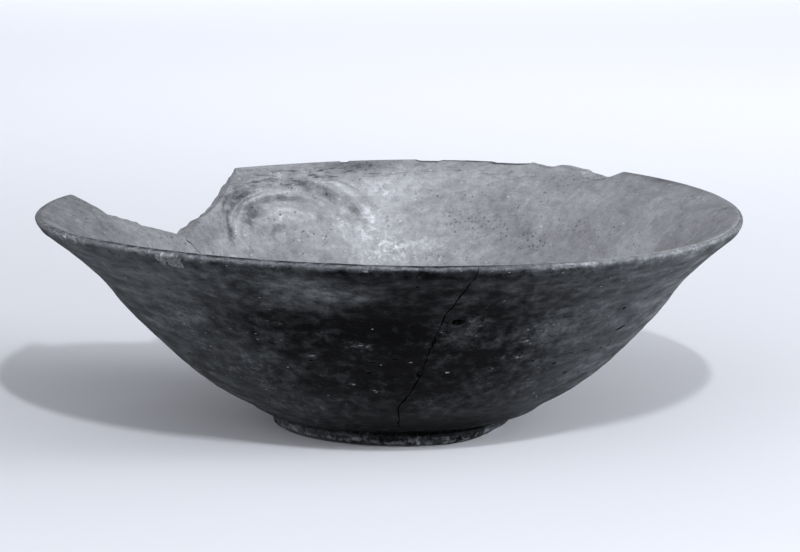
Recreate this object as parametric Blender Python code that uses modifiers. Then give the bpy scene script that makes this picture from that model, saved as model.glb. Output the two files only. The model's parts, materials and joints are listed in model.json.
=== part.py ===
"""A broken and mended footed bowl of fired clay, at its real size.

Units are metres and +Z is up. The origin is at the bottom of the bowl, under the middle of the rim.
Azimuth 0 is +X and 90 degrees is +Y, which is the far side of the bowl when it is seen from the front.
"""

import math
import random

import bmesh
import bpy
from mathutils import Matrix, Vector

MM = 0.001

# Driving dimensions
RIM_RADIUS = 110.0 * MM
LIP_EDGE_HEIGHT = 66.8 * MM
LIP_TOP_HEIGHT = 67.8 * MM
LIP_WIDTH = 7.2 * MM
FOOT_HEIGHT = 4.2 * MM
FOOT_BASE_RADIUS = 36.8 * MM
REST_RING_RADII = (30.6 * MM, 34.2 * MM)
RECESS_DEPTH = 2.2 * MM
FLOOR_HEIGHT = 10.4 * MM
FLOOR_BEND = (20.0 * MM, 11.1 * MM)
RIM_WALL = 5.2 * MM
LOW_WALL = 7.4 * MM
WALL_THINNING = 0.6

# The outside of the wall, from the foot up to the lip: radius and height of each station
OUTER_STATIONS = [
    (38.3 * MM, 4.2 * MM),
    (43.7 * MM, 6.2 * MM),
    (48.3 * MM, 9.4 * MM),
    (57.3 * MM, 14.6 * MM),
    (66.6 * MM, 21.8 * MM),
    (75.5 * MM, 30.4 * MM),
    (84.4 * MM, 39.8 * MM),
    (91.7 * MM, 49.2 * MM),
    (101.1 * MM, 58.0 * MM),
    (108.7 * MM, 64.2 * MM),
]

# How far the thrown form is out of true
LEAN = 2.84 * MM
LEAN_AT_BASE = 0.18
LEAN_RISE = 2.4 * MM
RIM_WARP = 1.18 * MM
RIM_WARP_TURN = math.radians(21.4)
RIM_TILT = 0.2 * MM

# The gap where the rim is lost: azimuth in degrees and height of its broken edge on the wall's outside.
# The slope is how far the fracture rises for each unit that it goes outwards through the wall.
LEFT_BREAK = [
    (162.2, 69.5 * MM),
    (161.2, 67.6 * MM),
    (160.3, 65.4 * MM),
    (159.6, 63.4 * MM),
    (157.4, 61.2 * MM),
    (153.7, 58.9 * MM),
    (151.4, 57.2 * MM),
    (147.2, 54.8 * MM),
    (144.3, 52.8 * MM),
    (142.3, 51.6 * MM),
]
LEFT_SLOPE = 0.36
RIGHT_BREAK = [
    (141.4, 50.0 * MM),
    (139.1, 50.0 * MM),
    (136.1, 51.4 * MM),
    (134.2, 52.5 * MM),
    (132.4, 53.0 * MM),
    (130.9, 53.9 * MM),
    (127.4, 56.2 * MM),
    (124.7, 58.7 * MM),
    (122.1, 62.1 * MM),
    (121.4, 62.4 * MM),
    (119.7, 64.4 * MM),
    (118.5, 66.9 * MM),
    (117.9, 69.5 * MM),
]
RIGHT_SLOPE = -0.28
BREAK_ROUGHNESS = 0.15 * MM
BREAK_CUTTER_RADII = (62.0 * MM, 125.0 * MM)
BREAK_CUTTER_TOP = 95.0 * MM

# Chips out of the top of the rim: azimuth, half length, depth
RIM_CHIPS = [
    (47.7, 9.4 * MM, 2.7 * MM),
    (54.4, 6.0 * MM, 0.9 * MM),
    (59.3, 3.2 * MM, 1.4 * MM),
    (66.0, 9.5 * MM, 0.9 * MM),
    (80.5, 5.6 * MM, 0.6 * MM),
    (213.5, 3.6 * MM, 1.5 * MM),
]
CHIP_ACROSS = 9.0 * MM
CHIP_FLAKE_HEIGHT = 2.2
CHIP_JITTER = 0.04

# The foot: its groove, its worn and bulging lower edge, and its fillet into the body
FOOT_GROOVE = 1.0 * MM
FOOT_WEAR = (1.0 * MM, 225.0, 30.0)
FOOT_BULGE = (1.9 * MM, 298.0, 20.0)
FOOT_FILLET = (0.6 * MM, 0.0, 35.0)
FOOT_FRONT_LIFT = 0.8 * MM

TURNING_STEPS = 84
WALL_STEPS = 2
FLOOR_EDGE_POINT = 5
SHARP_ANGLE = math.radians(35)
CLAY_COLOUR = (0.19, 0.19, 0.20, 1.0)
CLAY_ROUGHNESS = 0.6


def clear_scene():
    for obj in list(bpy.data.objects):
        bpy.data.objects.remove(obj, do_unlink=True)


def spline_value(a, b, c, d, t):
    """The value at share t of the way from b to c on a Catmull-Rom curve."""
    return 0.5 * (2 * b + (c - a) * t + (2 * a - 5 * b + 4 * c - d) * t**2 + (3 * b - a - 3 * c + d) * t**3)


def smooth_run(stations, steps_each):
    """Points of a Catmull-Rom curve through the stations, ends included."""
    first = [2 * a - b for a, b in zip(stations[0], stations[1])]
    last = [2 * a - b for a, b in zip(stations[-1], stations[-2])]
    guide = [first, *stations, last]
    points = []
    for before, start, end, after in zip(guide, guide[1:], guide[2:], guide[3:]):
        for step in range(steps_each):
            point = [spline_value(*values, step / steps_each) for values in zip(before, start, end, after)]
            points.append(tuple(point))
    points.append(tuple(stations[-1]))
    return points


def wall_thickness(height):
    """The wall thins from the foot to the rim, soonest low down."""
    share = (height - FOOT_HEIGHT) / (LIP_EDGE_HEIGHT - FOOT_HEIGHT)
    return LOW_WALL + (RIM_WALL - LOW_WALL) * min(1.0, max(0.0, share)) ** WALL_THINNING


def inner_wall(outer):
    """Every other point of the outer wall moved in along its normal, from the floor's edge to the lip."""
    points = []
    for i in range(FLOOR_EDGE_POINT, len(outer) - 1, 2):
        along = Vector(outer[i + 1]) - Vector(outer[i - 1])
        inward = Vector((-along.y, along.x)).normalized()
        point = Vector(outer[i]) + inward * wall_thickness(outer[i][1])
        points.append((point.x, point.y))
    return points


def lip_points():
    """The lip's section, from its shallow inner groove over the top to the edge and back under it."""
    inner_edge = RIM_RADIUS - LIP_WIDTH
    return [
        (inner_edge + 0.1 * MM, LIP_EDGE_HEIGHT - 2.0 * MM),
        (inner_edge + 0.8 * MM, LIP_EDGE_HEIGHT - 1.0 * MM),
        (RIM_RADIUS - 4.2 * MM, LIP_TOP_HEIGHT - 0.8 * MM),
        (RIM_RADIUS - 1.3 * MM, LIP_TOP_HEIGHT),
        (RIM_RADIUS - 0.4 * MM, LIP_TOP_HEIGHT - 0.4 * MM),
        (RIM_RADIUS, LIP_EDGE_HEIGHT),
        (RIM_RADIUS - 0.3 * MM, LIP_EDGE_HEIGHT - 1.0 * MM),
    ]


def foot_points():
    """The foot's section, from the groove under the body down to the resting ring and into the recess."""
    rest_inner, rest_outer = REST_RING_RADII
    return [
        (FOOT_BASE_RADIUS + 1.4 * MM - FOOT_GROOVE, FOOT_HEIGHT - 0.4 * MM),
        (FOOT_BASE_RADIUS + 1.1 * MM, FOOT_HEIGHT - 1.1 * MM),
        (FOOT_BASE_RADIUS + 0.6 * MM, 1.3 * MM),
        (FOOT_BASE_RADIUS - 0.3 * MM, 0.4 * MM),
        (rest_outer, 0.0),
        (rest_inner, 0.0),
        (rest_inner - 1.2 * MM, RECESS_DEPTH * 0.6),
        (rest_inner - 3.5 * MM, RECESS_DEPTH),
        (0.0, RECESS_DEPTH + 0.5 * MM),
    ]


def section():
    """The bowl's half section, from the middle of the floor over the lip to the middle of the underside."""
    outer = smooth_run(OUTER_STATIONS, WALL_STEPS)
    inner = inner_wall(outer)
    floor_stations = [(0.0, FLOOR_HEIGHT), FLOOR_BEND, *inner[:2]]
    floor = smooth_run(floor_stations, WALL_STEPS)[: 2 * WALL_STEPS + 1]
    return floor + inner[1:] + lip_points() + outer[::-1] + foot_points()


def hump(azimuth, shape):
    """A smooth hump of the given size about the given azimuth, in degrees."""
    size, middle, spread = shape
    away = (azimuth - middle + 180) % 360 - 180
    return size * math.exp(-((away / spread) ** 2))


def foot_change(point):
    """Where a point of the true turned foot lies on the worn, uneven one."""
    radius = math.hypot(point.x, point.y)
    if radius < 0.1 * MM or radius > OUTER_STATIONS[3][0]:
        return point
    azimuth = math.degrees(math.atan2(point.y, point.x)) % 360
    outwards = Vector((point.x, point.y, 0)) / radius
    up = Vector((0, 0, 1))
    front = max(0.0, -outwards.y)
    moved = point.copy()
    if radius > REST_RING_RADII[1] + 0.1 * MM and point.z < FOOT_HEIGHT:
        moved += outwards * hump(azimuth, FOOT_BULGE) * (1 - 0.6 * point.z / FOOT_HEIGHT)
    if radius > REST_RING_RADII[1] + 0.1 * MM and point.z < FOOT_HEIGHT / 2:
        moved += up * hump(azimuth, FOOT_WEAR)
    if FOOT_HEIGHT / 2 < point.z < OUTER_STATIONS[2][1] and radius > REST_RING_RADII[1]:
        nearness = math.exp(-abs(point.z - FOOT_HEIGHT) / FOOT_HEIGHT)
        moved += up * FOOT_FRONT_LIFT * front * nearness
        moved += outwards * hump(azimuth, FOOT_FILLET) * nearness
    return moved


def out_of_true(point):
    """Where a point of the true turned form lies on the leaning, warped bowl."""
    azimuth = math.atan2(point.y, point.x)
    share = max(0.0, point.z / LIP_EDGE_HEIGHT)
    held = 1.0 - (1.0 - LEAN_AT_BASE) * math.exp(-point.z / LEAN_RISE)
    lean = LEAN * (1.0 - min(1.0, share) ** 2) * held
    warp = RIM_WARP * math.sin(2 * azimuth - RIM_WARP_TURN) - RIM_TILT * math.cos(azimuth)
    return Vector((point.x + lean, point.y, point.z + warp * share**2))


def linked_object(name, mesh, collection):
    obj = bpy.data.objects.new(name, mesh)
    collection.objects.link(obj)
    return obj


def turned_mesh(collection):
    """The section turned about the Z axis, as one closed mesh."""
    mesh = bpy.data.meshes.new("bowl_section")
    points = [(radius, 0.0, height) for radius, height in section()]
    mesh.from_pydata(points, [(i, i + 1) for i in range(len(points) - 1)], [])
    profile = linked_object("bowl_section", mesh, collection)
    turn = profile.modifiers.new("Turn", "SCREW")
    turn.axis = "Z"
    turn.steps = TURNING_STEPS
    turn.render_steps = TURNING_STEPS
    turn.use_merge_vertices = True
    turn.merge_threshold = 0.01 * MM
    bpy.context.view_layer.update()
    graph = bpy.context.evaluated_depsgraph_get()
    turned = bpy.data.meshes.new_from_object(profile.evaluated_get(graph))
    bpy.data.objects.remove(profile, do_unlink=True)
    for vertex in turned.vertices:
        vertex.co = out_of_true(foot_change(vertex.co))
    return turned


def fired_clay():
    """Dark burnished clay, a little lighter than the soot on it."""
    material = bpy.data.materials.new("fired_clay")
    material.use_nodes = True
    shader = material.node_tree.nodes["Principled BSDF"]
    shader.inputs["Base Color"].default_value = CLAY_COLOUR
    shader.inputs["Roughness"].default_value = CLAY_ROUGHNESS
    shader.inputs["Metallic"].default_value = 0.0
    return material


def hide_cutter(cutter):
    cutter.hide_render = True
    cutter.display_type = "WIRE"


def broken_edge():
    """Azimuth, height and slope along the fracture, with a jittered point between each pair of stations."""
    jitter = random.Random(4)
    edge = []
    for stations, slope in ((LEFT_BREAK, LEFT_SLOPE), (RIGHT_BREAK, RIGHT_SLOPE)):
        for (azimuth, height), (next_azimuth, next_height) in zip(stations, stations[1:]):
            edge.append((azimuth, height, slope))
            share = jitter.uniform(0.35, 0.65)
            lift = jitter.uniform(-BREAK_ROUGHNESS, BREAK_ROUGHNESS)
            between = height + (next_height - height) * share + lift
            edge.append((azimuth + (next_azimuth - azimuth) * share, between, slope))
        edge.append((*stations[-1], slope))
    return edge


def radius_at(height):
    """The outside radius of the true form at a height."""
    for (r0, z0), (r1, z1) in zip(OUTER_STATIONS, OUTER_STATIONS[1:]):
        if height <= z1:
            return r0 + (r1 - r0) * (height - z0) / (z1 - z0)
    return RIM_RADIUS


def break_cutter(collection):
    """A wedge through the wall, open above the rim, whose lower face is the fracture."""
    build = bmesh.new()
    columns = []
    for azimuth, height, slope in broken_edge():
        direction = Vector((math.cos(math.radians(azimuth)), math.sin(math.radians(azimuth)), 0.0))
        column = []
        for radius in BREAK_CUTTER_RADII:
            low = height + slope * (radius - radius_at(height))
            column.append(build.verts.new(direction * radius + Vector((0, 0, low))))
            column.append(build.verts.new(direction * radius + Vector((0, 0, BREAK_CUTTER_TOP))))
        columns.append(column)
    for left, right in zip(columns, columns[1:]):
        for a, b in ((0, 2), (2, 3), (3, 1), (1, 0)):
            build.faces.new((left[a], left[b], right[b], right[a]))
    for column in (columns[0], columns[-1]):
        build.faces.new((column[0], column[1], column[3], column[2]))
    bmesh.ops.triangulate(build, faces=build.faces[:])
    bmesh.ops.recalc_face_normals(build, faces=build.faces[:])
    mesh = bpy.data.meshes.new("break_cutter")
    build.to_mesh(mesh)
    build.free()
    cutter = linked_object("break_cutter", mesh, collection)
    hide_cutter(cutter)
    return cutter


def chip_cutter(index, azimuth, half_length, depth, collection):
    """A lumpy flake that takes a shallow bite out of the top of the rim."""
    build = bmesh.new()
    bmesh.ops.create_icosphere(build, subdivisions=3, radius=1.0)
    jitter = random.Random(20 + index)
    for vertex in build.verts:
        vertex.co *= 1 + jitter.uniform(-CHIP_JITTER, CHIP_JITTER)
    turn = Matrix.Rotation(math.radians(azimuth), 4, "Z")
    height = CHIP_FLAKE_HEIGHT * depth
    length = half_length / math.sqrt(1 - ((height - depth) / height) ** 2)
    on_lip = out_of_true(turn @ Vector((RIM_RADIUS - LIP_WIDTH / 3, 0, LIP_TOP_HEIGHT)))
    place = Matrix.Translation(on_lip + Vector((0, 0, height - depth)))
    build.transform(place @ turn @ Matrix.Diagonal((CHIP_ACROSS, length, height, 1.0)))
    mesh = bpy.data.meshes.new(f"chip_cutter_{index}")
    build.to_mesh(mesh)
    build.free()
    cutter = linked_object(f"chip_cutter_{index}", mesh, collection)
    hide_cutter(cutter)
    return cutter


def cut(obj, cutter):
    boolean = obj.modifiers.new(cutter.name, "BOOLEAN")
    boolean.operation = "DIFFERENCE"
    boolean.solver = "EXACT"
    boolean.object = cutter


def main():
    clear_scene()
    scene_collection = bpy.context.scene.collection
    parts = bpy.data.collections.new("footed_bowl")
    cutters = bpy.data.collections.new("cutters")
    scene_collection.children.link(parts)
    scene_collection.children.link(cutters)

    mesh = turned_mesh(parts)
    mesh.name = "bowl"
    mesh.materials.append(fired_clay())
    mesh.shade_smooth()
    mesh.set_sharp_from_angle(angle=SHARP_ANGLE)
    bowl = linked_object("bowl", mesh, parts)

    cut(bowl, break_cutter(cutters))
    for index, (azimuth, half_length, depth) in enumerate(RIM_CHIPS):
        cut(bowl, chip_cutter(index, azimuth, half_length, depth, cutters))


main()
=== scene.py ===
"""The looks of a broken and mended footed bowl, laid out as an add-on and run as a script.

Units are metres and +Z is up. Azimuth 0 is +X and 90 degrees is +Y, the far side from the camera.
"""

import json
import math
import random

import bmesh
import bpy
import numpy as np
from bpy.props import FloatProperty, FloatVectorProperty, IntProperty, PointerProperty
from mathutils import Matrix, Vector, kdtree, noise
from mathutils.bvhtree import BVHTree

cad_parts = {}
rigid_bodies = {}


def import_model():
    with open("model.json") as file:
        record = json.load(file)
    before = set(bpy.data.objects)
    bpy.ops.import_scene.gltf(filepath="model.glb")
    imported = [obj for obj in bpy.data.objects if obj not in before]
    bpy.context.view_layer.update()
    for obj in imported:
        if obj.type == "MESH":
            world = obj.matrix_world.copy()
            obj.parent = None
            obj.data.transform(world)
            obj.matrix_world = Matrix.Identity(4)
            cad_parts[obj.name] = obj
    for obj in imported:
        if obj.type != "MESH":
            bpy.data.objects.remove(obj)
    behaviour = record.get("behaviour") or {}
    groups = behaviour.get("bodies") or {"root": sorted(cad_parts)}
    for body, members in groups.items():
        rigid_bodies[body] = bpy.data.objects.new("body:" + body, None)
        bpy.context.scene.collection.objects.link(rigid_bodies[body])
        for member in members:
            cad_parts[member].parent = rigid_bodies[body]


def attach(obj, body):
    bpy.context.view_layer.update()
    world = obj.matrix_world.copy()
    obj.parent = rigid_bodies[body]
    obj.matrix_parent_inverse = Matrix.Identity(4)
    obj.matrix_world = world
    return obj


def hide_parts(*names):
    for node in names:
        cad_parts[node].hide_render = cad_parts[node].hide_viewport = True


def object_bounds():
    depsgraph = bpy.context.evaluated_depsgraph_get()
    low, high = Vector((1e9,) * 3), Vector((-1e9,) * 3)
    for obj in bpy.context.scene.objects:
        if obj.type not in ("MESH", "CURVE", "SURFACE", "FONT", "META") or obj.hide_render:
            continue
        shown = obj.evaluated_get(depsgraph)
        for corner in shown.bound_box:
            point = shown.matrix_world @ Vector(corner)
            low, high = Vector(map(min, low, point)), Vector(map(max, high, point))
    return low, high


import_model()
cad_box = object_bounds()

bl_info = {
    "name": "Footed Bowl, Broken and Mended",
    "version": (1, 0, 0),
    "blender": (4, 5, 0),
    "location": "3D View > Sidebar > Bowl",
    "description": "Throws, breaks, mends and finishes an old footed bowl, and sets its studio",
    "category": "Add Mesh",
}

MM = 0.001
NODE = "bowl"
PIECE = "footed_bowl"


def scaled(scales, rows):
    """The rows, with each of their numbers times its column's scale."""
    return [tuple(value * scale for value, scale in zip(row, scales)) for row in rows]


# Driving dimensions of the thrown form
RIM_RADIUS = (cad_box[1].x - cad_box[0].x) / 2
LIP_EDGE_HEIGHT = 66.8 * MM
LIP_TOP_HEIGHT = 67.8 * MM
LIP_WIDTH = 7.2 * MM
FOOT_HEIGHT = 4.2 * MM
FOOT_BASE_RADIUS = 36.8 * MM
REST_RING_RADII = (30.6 * MM, 34.2 * MM)
RECESS_DEPTH = 2.2 * MM
FLOOR_HEIGHT = 10.4 * MM
FLOOR_BEND = (20.0 * MM, 11.1 * MM)
RIM_WALL = 5.2 * MM
LOW_WALL = 7.4 * MM
WALL_THINNING = 0.6
HIDDEN_FLOOR_RADIUS = 46.0 * MM

# The outside of the wall, from the foot up to the lip: radius and height of each station in millimetres
OUTER_STATIONS = scaled((MM, MM), [
    (38.3, 4.2), (43.7, 6.2), (48.3, 9.4), (57.3, 14.6), (66.6, 21.8), (75.5, 30.4), (84.4, 39.8),
    (91.7, 49.2), (101.1, 58.0), (108.7, 64.2),
])

# Radius of the cylinder on which the skin is laid out, for the noise that runs round the bowl
TURNED_RADIUS = 90 * MM

# How far the thrown form is out of true
LEAN = 2.84 * MM
LEAN_AT_BASE = 0.18
LEAN_RISE = 2.4 * MM
RIM_WARP = 1.18 * MM
RIM_WARP_TURN = math.radians(21.4)
RIM_TILT = 0.2 * MM

# The gap where the rim is lost, from left to right: azimuth in degrees, height in millimetres of the edge on
# the outside of the wall, and how far the broken face rises for each unit that it goes outwards
BREAK = scaled((1, MM, 1), [
    (161.6, 69.5, 0.10), (161.2, 67.6, 0.10), (160.9, 66.4, 0.10), (160.5, 65.0, 0.10),
    (160.2, 62.2, 0.12), (159.4, 61.4, 0.15), (157.0, 60.4, 0.20), (154.5, 59.3, 0.25),
    (152.3, 58.4, 0.28), (150.9, 57.2, 0.28), (149.3, 56.2, 0.28), (146.2, 54.1, 0.26),
    (144.5, 53.1, 0.18), (142.9, 52.1, 0.15), (141.4, 51.0, 0.10), (140.4, 50.5, 0.05),
    (139.3, 50.1, 0.00), (137.8, 51.0, -0.20), (135.6, 51.8, -0.32), (134.0, 52.7, -0.38),
    (131.5, 53.6, -0.38), (128.5, 55.5, -0.38), (125.7, 57.8, -0.36), (124.2, 59.4, -0.34),
    (122.6, 61.3, -0.32), (121.8, 62.1, -0.30), (120.9, 63.0, -0.30), (119.7, 64.5, -0.28),
    (118.9, 65.9, -0.28), (118.5, 67.2, -0.28), (118.1, 69.5, -0.28),
])

# The rubbed top of the rim at the back, with small nicks, and the two larger chips to the right of it, given
# in the same way. A height over 69 mm leaves the rim as it is.
RIM_WEAR = scaled((1, MM, 1), [
    (99.4, 69.6, 0), (98.8, 67.4, 0), (97.4, 67.4, 0), (97.0, 69.6, 0), (86.0, 69.6, 0),
    (85.0, 68.1, 0), (84.0, 67.75, 0), (81.0, 67.75, 0), (80.2, 68.2, 0), (75.0, 68.25, 0),
    (71.2, 68.28, 0), (70.3, 67.88, 0), (66.5, 67.97, 0), (64.8, 68.2, 0), (63.4, 68.5, 0),
    (62.8, 69.6, 0),
])
RIM_CHIPS = scaled((1, MM, 1), [
    (63.2, 69.6, 0), (62.6, 68.45, 0), (61.4, 68.2, 0), (60.6, 67.8, 0), (59.6, 67.75, 0),
    (58.4, 68.15, 0), (57.6, 68.7, 0), (55.6, 68.7, 0), (54.2, 68.3, 0), (53.2, 68.0, 0),
    (51.9, 67.85, 0.03), (51.2, 67.2, 0.06), (50.0, 66.75, 0.08), (48.6, 66.5, 0.10),
    (47.9, 66.25, 0.10), (46.6, 66.45, 0.08), (45.6, 66.9, 0.06), (44.6, 67.7, 0.03), (43.8, 68.3, 0),
    (43.0, 69.6, 0),
])

# How far the rim is pressed in at the left, about which azimuth, and how far round
RIM_DENT = (-0.85 * MM, 185.0, 24.0)

# The cutters of the broken edges: their highest point, and the radii of their rings across the wall or rim
CUTTER_TOP = 95.0 * MM
BREAK_RINGS = [62.0 * MM, *np.arange(80.0, 113.0, 0.6) * MM, 125.0 * MM]
RIM_RINGS = np.arange(99.0, 112.0, 0.8) * MM

# The raised inner edge of the lip and the groove beside it: height or depth, distance inside the lip's end
# and half width. They are kept about one azimuth, as far to each side as the second angle.
LIP_EDGE = (0.09 * MM, 3.9 * MM, 0.48 * MM)
LIP_GROOVE = (0.09 * MM, 3.0 * MM, 0.38 * MM)
LIP_EDGE_KEPT = (-108.0, 38.0)

# The foot: its groove, its worn and bulging lower edge, its fillet into the body and the chip at its right
FOOT_GROOVE = 1.0 * MM
FOOT_WEAR = (1.0 * MM, 225.0, 30.0)
FOOT_BULGE = (1.9 * MM, 298.0, 20.0)
FOOT_FILLET = (1.0 * MM, 352.0, 32.0)
FOOT_FRONT_LIFT = 0.8 * MM
FOOT_CHIP = (-2.1 * MM, 336.0, 19.0)

# The mended join, as azimuth and height on the true form: down the outside at the front, and down the inside.
# Its steps are measured at a radius in the middle of the wall, and the blade that cuts it stands proud by its
# top.
JOIN_RADIUS = 80 * MM
BLADE_TOP = 0.6 * MM
OUTSIDE_JOIN = scaled((1, MM), [
    (-76.4, 67.4), (-76.8, 64.4), (-78.1, 59.6), (-79.0, 55.4), (-80.1, 52.2), (-80.9, 48.2),
    (-81.6, 44.1), (-81.9, 42.1), (-83.2, 36.9), (-83.8, 32.2), (-84.7, 28.5), (-86.3, 23.2),
    (-89.4, 17.6), (-89.1, 12.6), (-89.1, 8.9),
])
INSIDE_JOIN = scaled((1, MM), [
    (141.7, 53.4), (142.1, 52.0), (142.4, 50.9), (142.4, 49.8), (141.9, 48.9), (141.5, 47.6),
    (141.1, 46.3),
])

# The hidden run of the join over the floor and up to the front rim, as X and Y
FLOOR_JOIN = scaled((MM, MM), [(-14, 16), (-3, -9), (1, -38), (9, -66), (20, -92), (25.5, -104.5)])

# Cracks and long pits of the outside, in millimetres: width, depth, and the line as azimuth and height
OUTSIDE_CRACKS = [
    (0.4, 0.5, [(-53.6, 32.9), (-52.1, 33.6)]),
    (0.4, 0.5, [(-50.6, 33.9), (-49.2, 34.4), (-47.3, 33.3), (-45.7, 34.4)]),
    (0.5, 0.5, [(-45.3, 34.2), (-44.3, 34.0), (-43.0, 34.9)]),
    (0.4, 0.4, [(-39.4, 33.7), (-37.2, 33.1)]),
    (0.4, 0.4, [(-36.2, 32.7), (-34.4, 31.5)]),
    (0.8, 0.7, [(-38.6, 39.6), (-35.5, 40.8)]),
    (0.7, 0.6, [(-20.0, 45.2), (-16.5, 46.9)]),
]


def length_property(name, description, default):
    return FloatProperty(name=name, description=description, default=default, unit="LENGTH")


def tone_property(name, description, default):
    return FloatProperty(name=name, description=description, default=default, min=0, max=1, subtype="FACTOR")


def colour_property(name, description, default):
    return FloatVectorProperty(name=name, description=description, default=default, subtype="COLOR", size=3)


class BowlShapeSettings(bpy.types.PropertyGroup):
    """Sizes that the potter, the wear and the mender chose."""

    steps_round: IntProperty(name="Steps Round", description="Faces in one turn", default=280, min=24)
    wall_step: length_property("Wall Step", "Length of a face along the section of the wall", 1.0 * MM)
    lip_step: length_property("Lip Step", "Length of a face along the section of the lip and foot", 0.27 * MM)
    wheel_mark_depth: length_property("Wheel Mark Depth", "Height of the potter's finger ridges", 0.06 * MM)
    unevenness: length_property("Unevenness", "Height of the wall's dents and swellings", 0.16 * MM)
    join_width: length_property("Join Width", "Width of the open line along the mended join", 0.42 * MM)
    join_depth: length_property("Join Depth", "Depth of the open line along the mended join", 1.3 * MM)


class BowlFinishSettings(bpy.types.PropertyGroup):
    """Tones and colours of the clay, the deposits and the dirt. A tone is 0 for black and 1 for white."""

    outside_tone: tone_property("Outside", "Tone of the burnished outside, away from its dark cloud", 0.29)
    inside_tone: tone_property("Inside", "Tone of the chalky inside", 0.57)
    lip_tone: tone_property("Lip", "Tone of the rubbed lip at the front", 0.41)
    foot_tone: tone_property("Foot", "Tone of the foot", 0.13)
    under_tone: tone_property("Underside", "Tone of the dusty underside", 0.42)
    broken_tone: tone_property("Broken Clay", "Tone of the bare clay on the broken edges", 0.55)
    rubbed_tone: tone_property("Rubbed Clay", "Tone of the old scars and the rubbed places of the rim", 0.37)
    dirt_tone: tone_property("Dirt", "Tone of the dirt in the join and in the pits", 0.08)
    pit_tone: tone_property("Pit Dust", "Tone of the dust in the pits of the inside", 0.40)
    grit_tone: tone_property("Pale Grit", "Tone of the pale grits in the burnish", 0.42)
    burnish_roughness: tone_property("Burnish Roughness", "Roughness of the best kept burnish", 0.55)
    specular: tone_property("Specular", "Strength of the skin's reflections", 0.04)
    dark_tint: colour_property("Dark Tint", "Colour of the dark clay, at full brightness", (0.90, 0.96, 1.0))
    pale_tint: colour_property("Pale Tint", "Colour of the pale clay, at full brightness", (1.0, 1.0, 1.0))


class BowlStageSettings(bpy.types.PropertyGroup):
    """Light, floor and camera of the studio."""

    lamp_power: FloatProperty(name="Lamp Power", description="Share of the lamps' full power", default=1.0)
    light_tint: colour_property("Light Tint", "Cool tint of all the light", (0.878, 0.909, 1.0))
    floor_tone: colour_property("Floor Tone", "Colour of the paper under the bowl", (0.815, 0.815, 0.815))
    floor_radius: length_property("Floor Radius", "Radius of the round sheet of paper", 6.0)
    lens: FloatProperty(name="Lens", description="Focal length of the camera", default=144.0, unit="CAMERA")


def deselect_all():
    if bpy.context.mode != "OBJECT":
        bpy.ops.object.mode_set(mode="OBJECT")
    bpy.ops.object.select_all(action="DESELECT")


def take(obj):
    """Makes this the one selected and active object."""
    deselect_all()
    obj.select_set(True)
    bpy.context.view_layer.objects.active = obj
    return obj


def edit(obj):
    """Takes the object into edit mode, with all of it selected."""
    take(obj)
    bpy.ops.object.mode_set(mode="EDIT")
    bpy.ops.mesh.select_all(action="SELECT")


def face_outwards():
    """Turns every face of the edited mesh outwards and leaves edit mode."""
    bpy.ops.mesh.select_all(action="SELECT")
    bpy.ops.mesh.normals_make_consistent(inside=False)
    bpy.ops.object.mode_set(mode="OBJECT")


def apply_modifier(obj, kind, **settings):
    take(obj)
    bpy.ops.object.modifier_add(type=kind)
    modifier = obj.modifiers[-1]
    for name, value in settings.items():
        setattr(modifier, name, value)
    bpy.ops.object.modifier_apply(modifier=modifier.name)


def remove(obj):
    bpy.data.objects.remove(obj, do_unlink=True)


# The thrown form


def run_along(points):
    """How far along a polyline each of its points lies."""
    return np.concatenate([[0], np.cumsum(np.hypot(*np.diff(points, axis=0).T))])


def resampled(points, spacing):
    """Points evenly spaced along a polyline, ends included."""
    points = np.array(points)
    run = run_along(points)
    stops = np.linspace(0, run[-1], max(2, round(run[-1] / spacing) + 1))
    return np.stack([np.interp(stops, run, points[:, 0]), np.interp(stops, run, points[:, 1])], axis=1)


CURVE_STEPS = 24


def smooth_curve(stations, first=None, last=None):
    """A Catmull-Rom curve through the stations. First and last guide its two ends."""
    stations = np.array(stations)
    first = 2 * stations[0] - stations[1] if first is None else first
    last = 2 * stations[-1] - stations[-2] if last is None else last
    guide = np.vstack([first, stations, last])
    t = np.linspace(0, 1, CURVE_STEPS, endpoint=False)[:, None]
    runs = []
    for a, b, c, d in zip(guide, guide[1:], guide[2:], guide[3:]):
        bend = (2 * a - 5 * b + 4 * c - d) * t**2
        twist = (3 * b - a - 3 * c + d) * t**3
        runs.append(0.5 * (2 * b + (c - a) * t + bend + twist))
    return np.vstack([*runs, stations[-1]])


def wall_thickness(height):
    """The wall thins from the foot to the rim, soonest low down."""
    share = np.clip((height - FOOT_HEIGHT) / (LIP_EDGE_HEIGHT - FOOT_HEIGHT), 0, 1)
    return LOW_WALL + (RIM_WALL - LOW_WALL) * share**WALL_THINNING


def inside_stations():
    """Stations up the inside of the wall, from the floor's edge to under the lip."""
    outer = resampled(smooth_curve(OUTER_STATIONS), 4.5 * MM)
    along = np.gradient(outer, axis=0)
    inward = np.stack([-along[:, 1], along[:, 0]], axis=1)
    inward /= np.linalg.norm(inward, axis=1)[:, None]
    inner = outer + inward * wall_thickness(outer[:, 1])[:, None]
    return inner[(outer[:, 0] > 52 * MM) & (inner[:, 0] < RIM_RADIUS - LIP_WIDTH - 3 * MM)]


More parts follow.
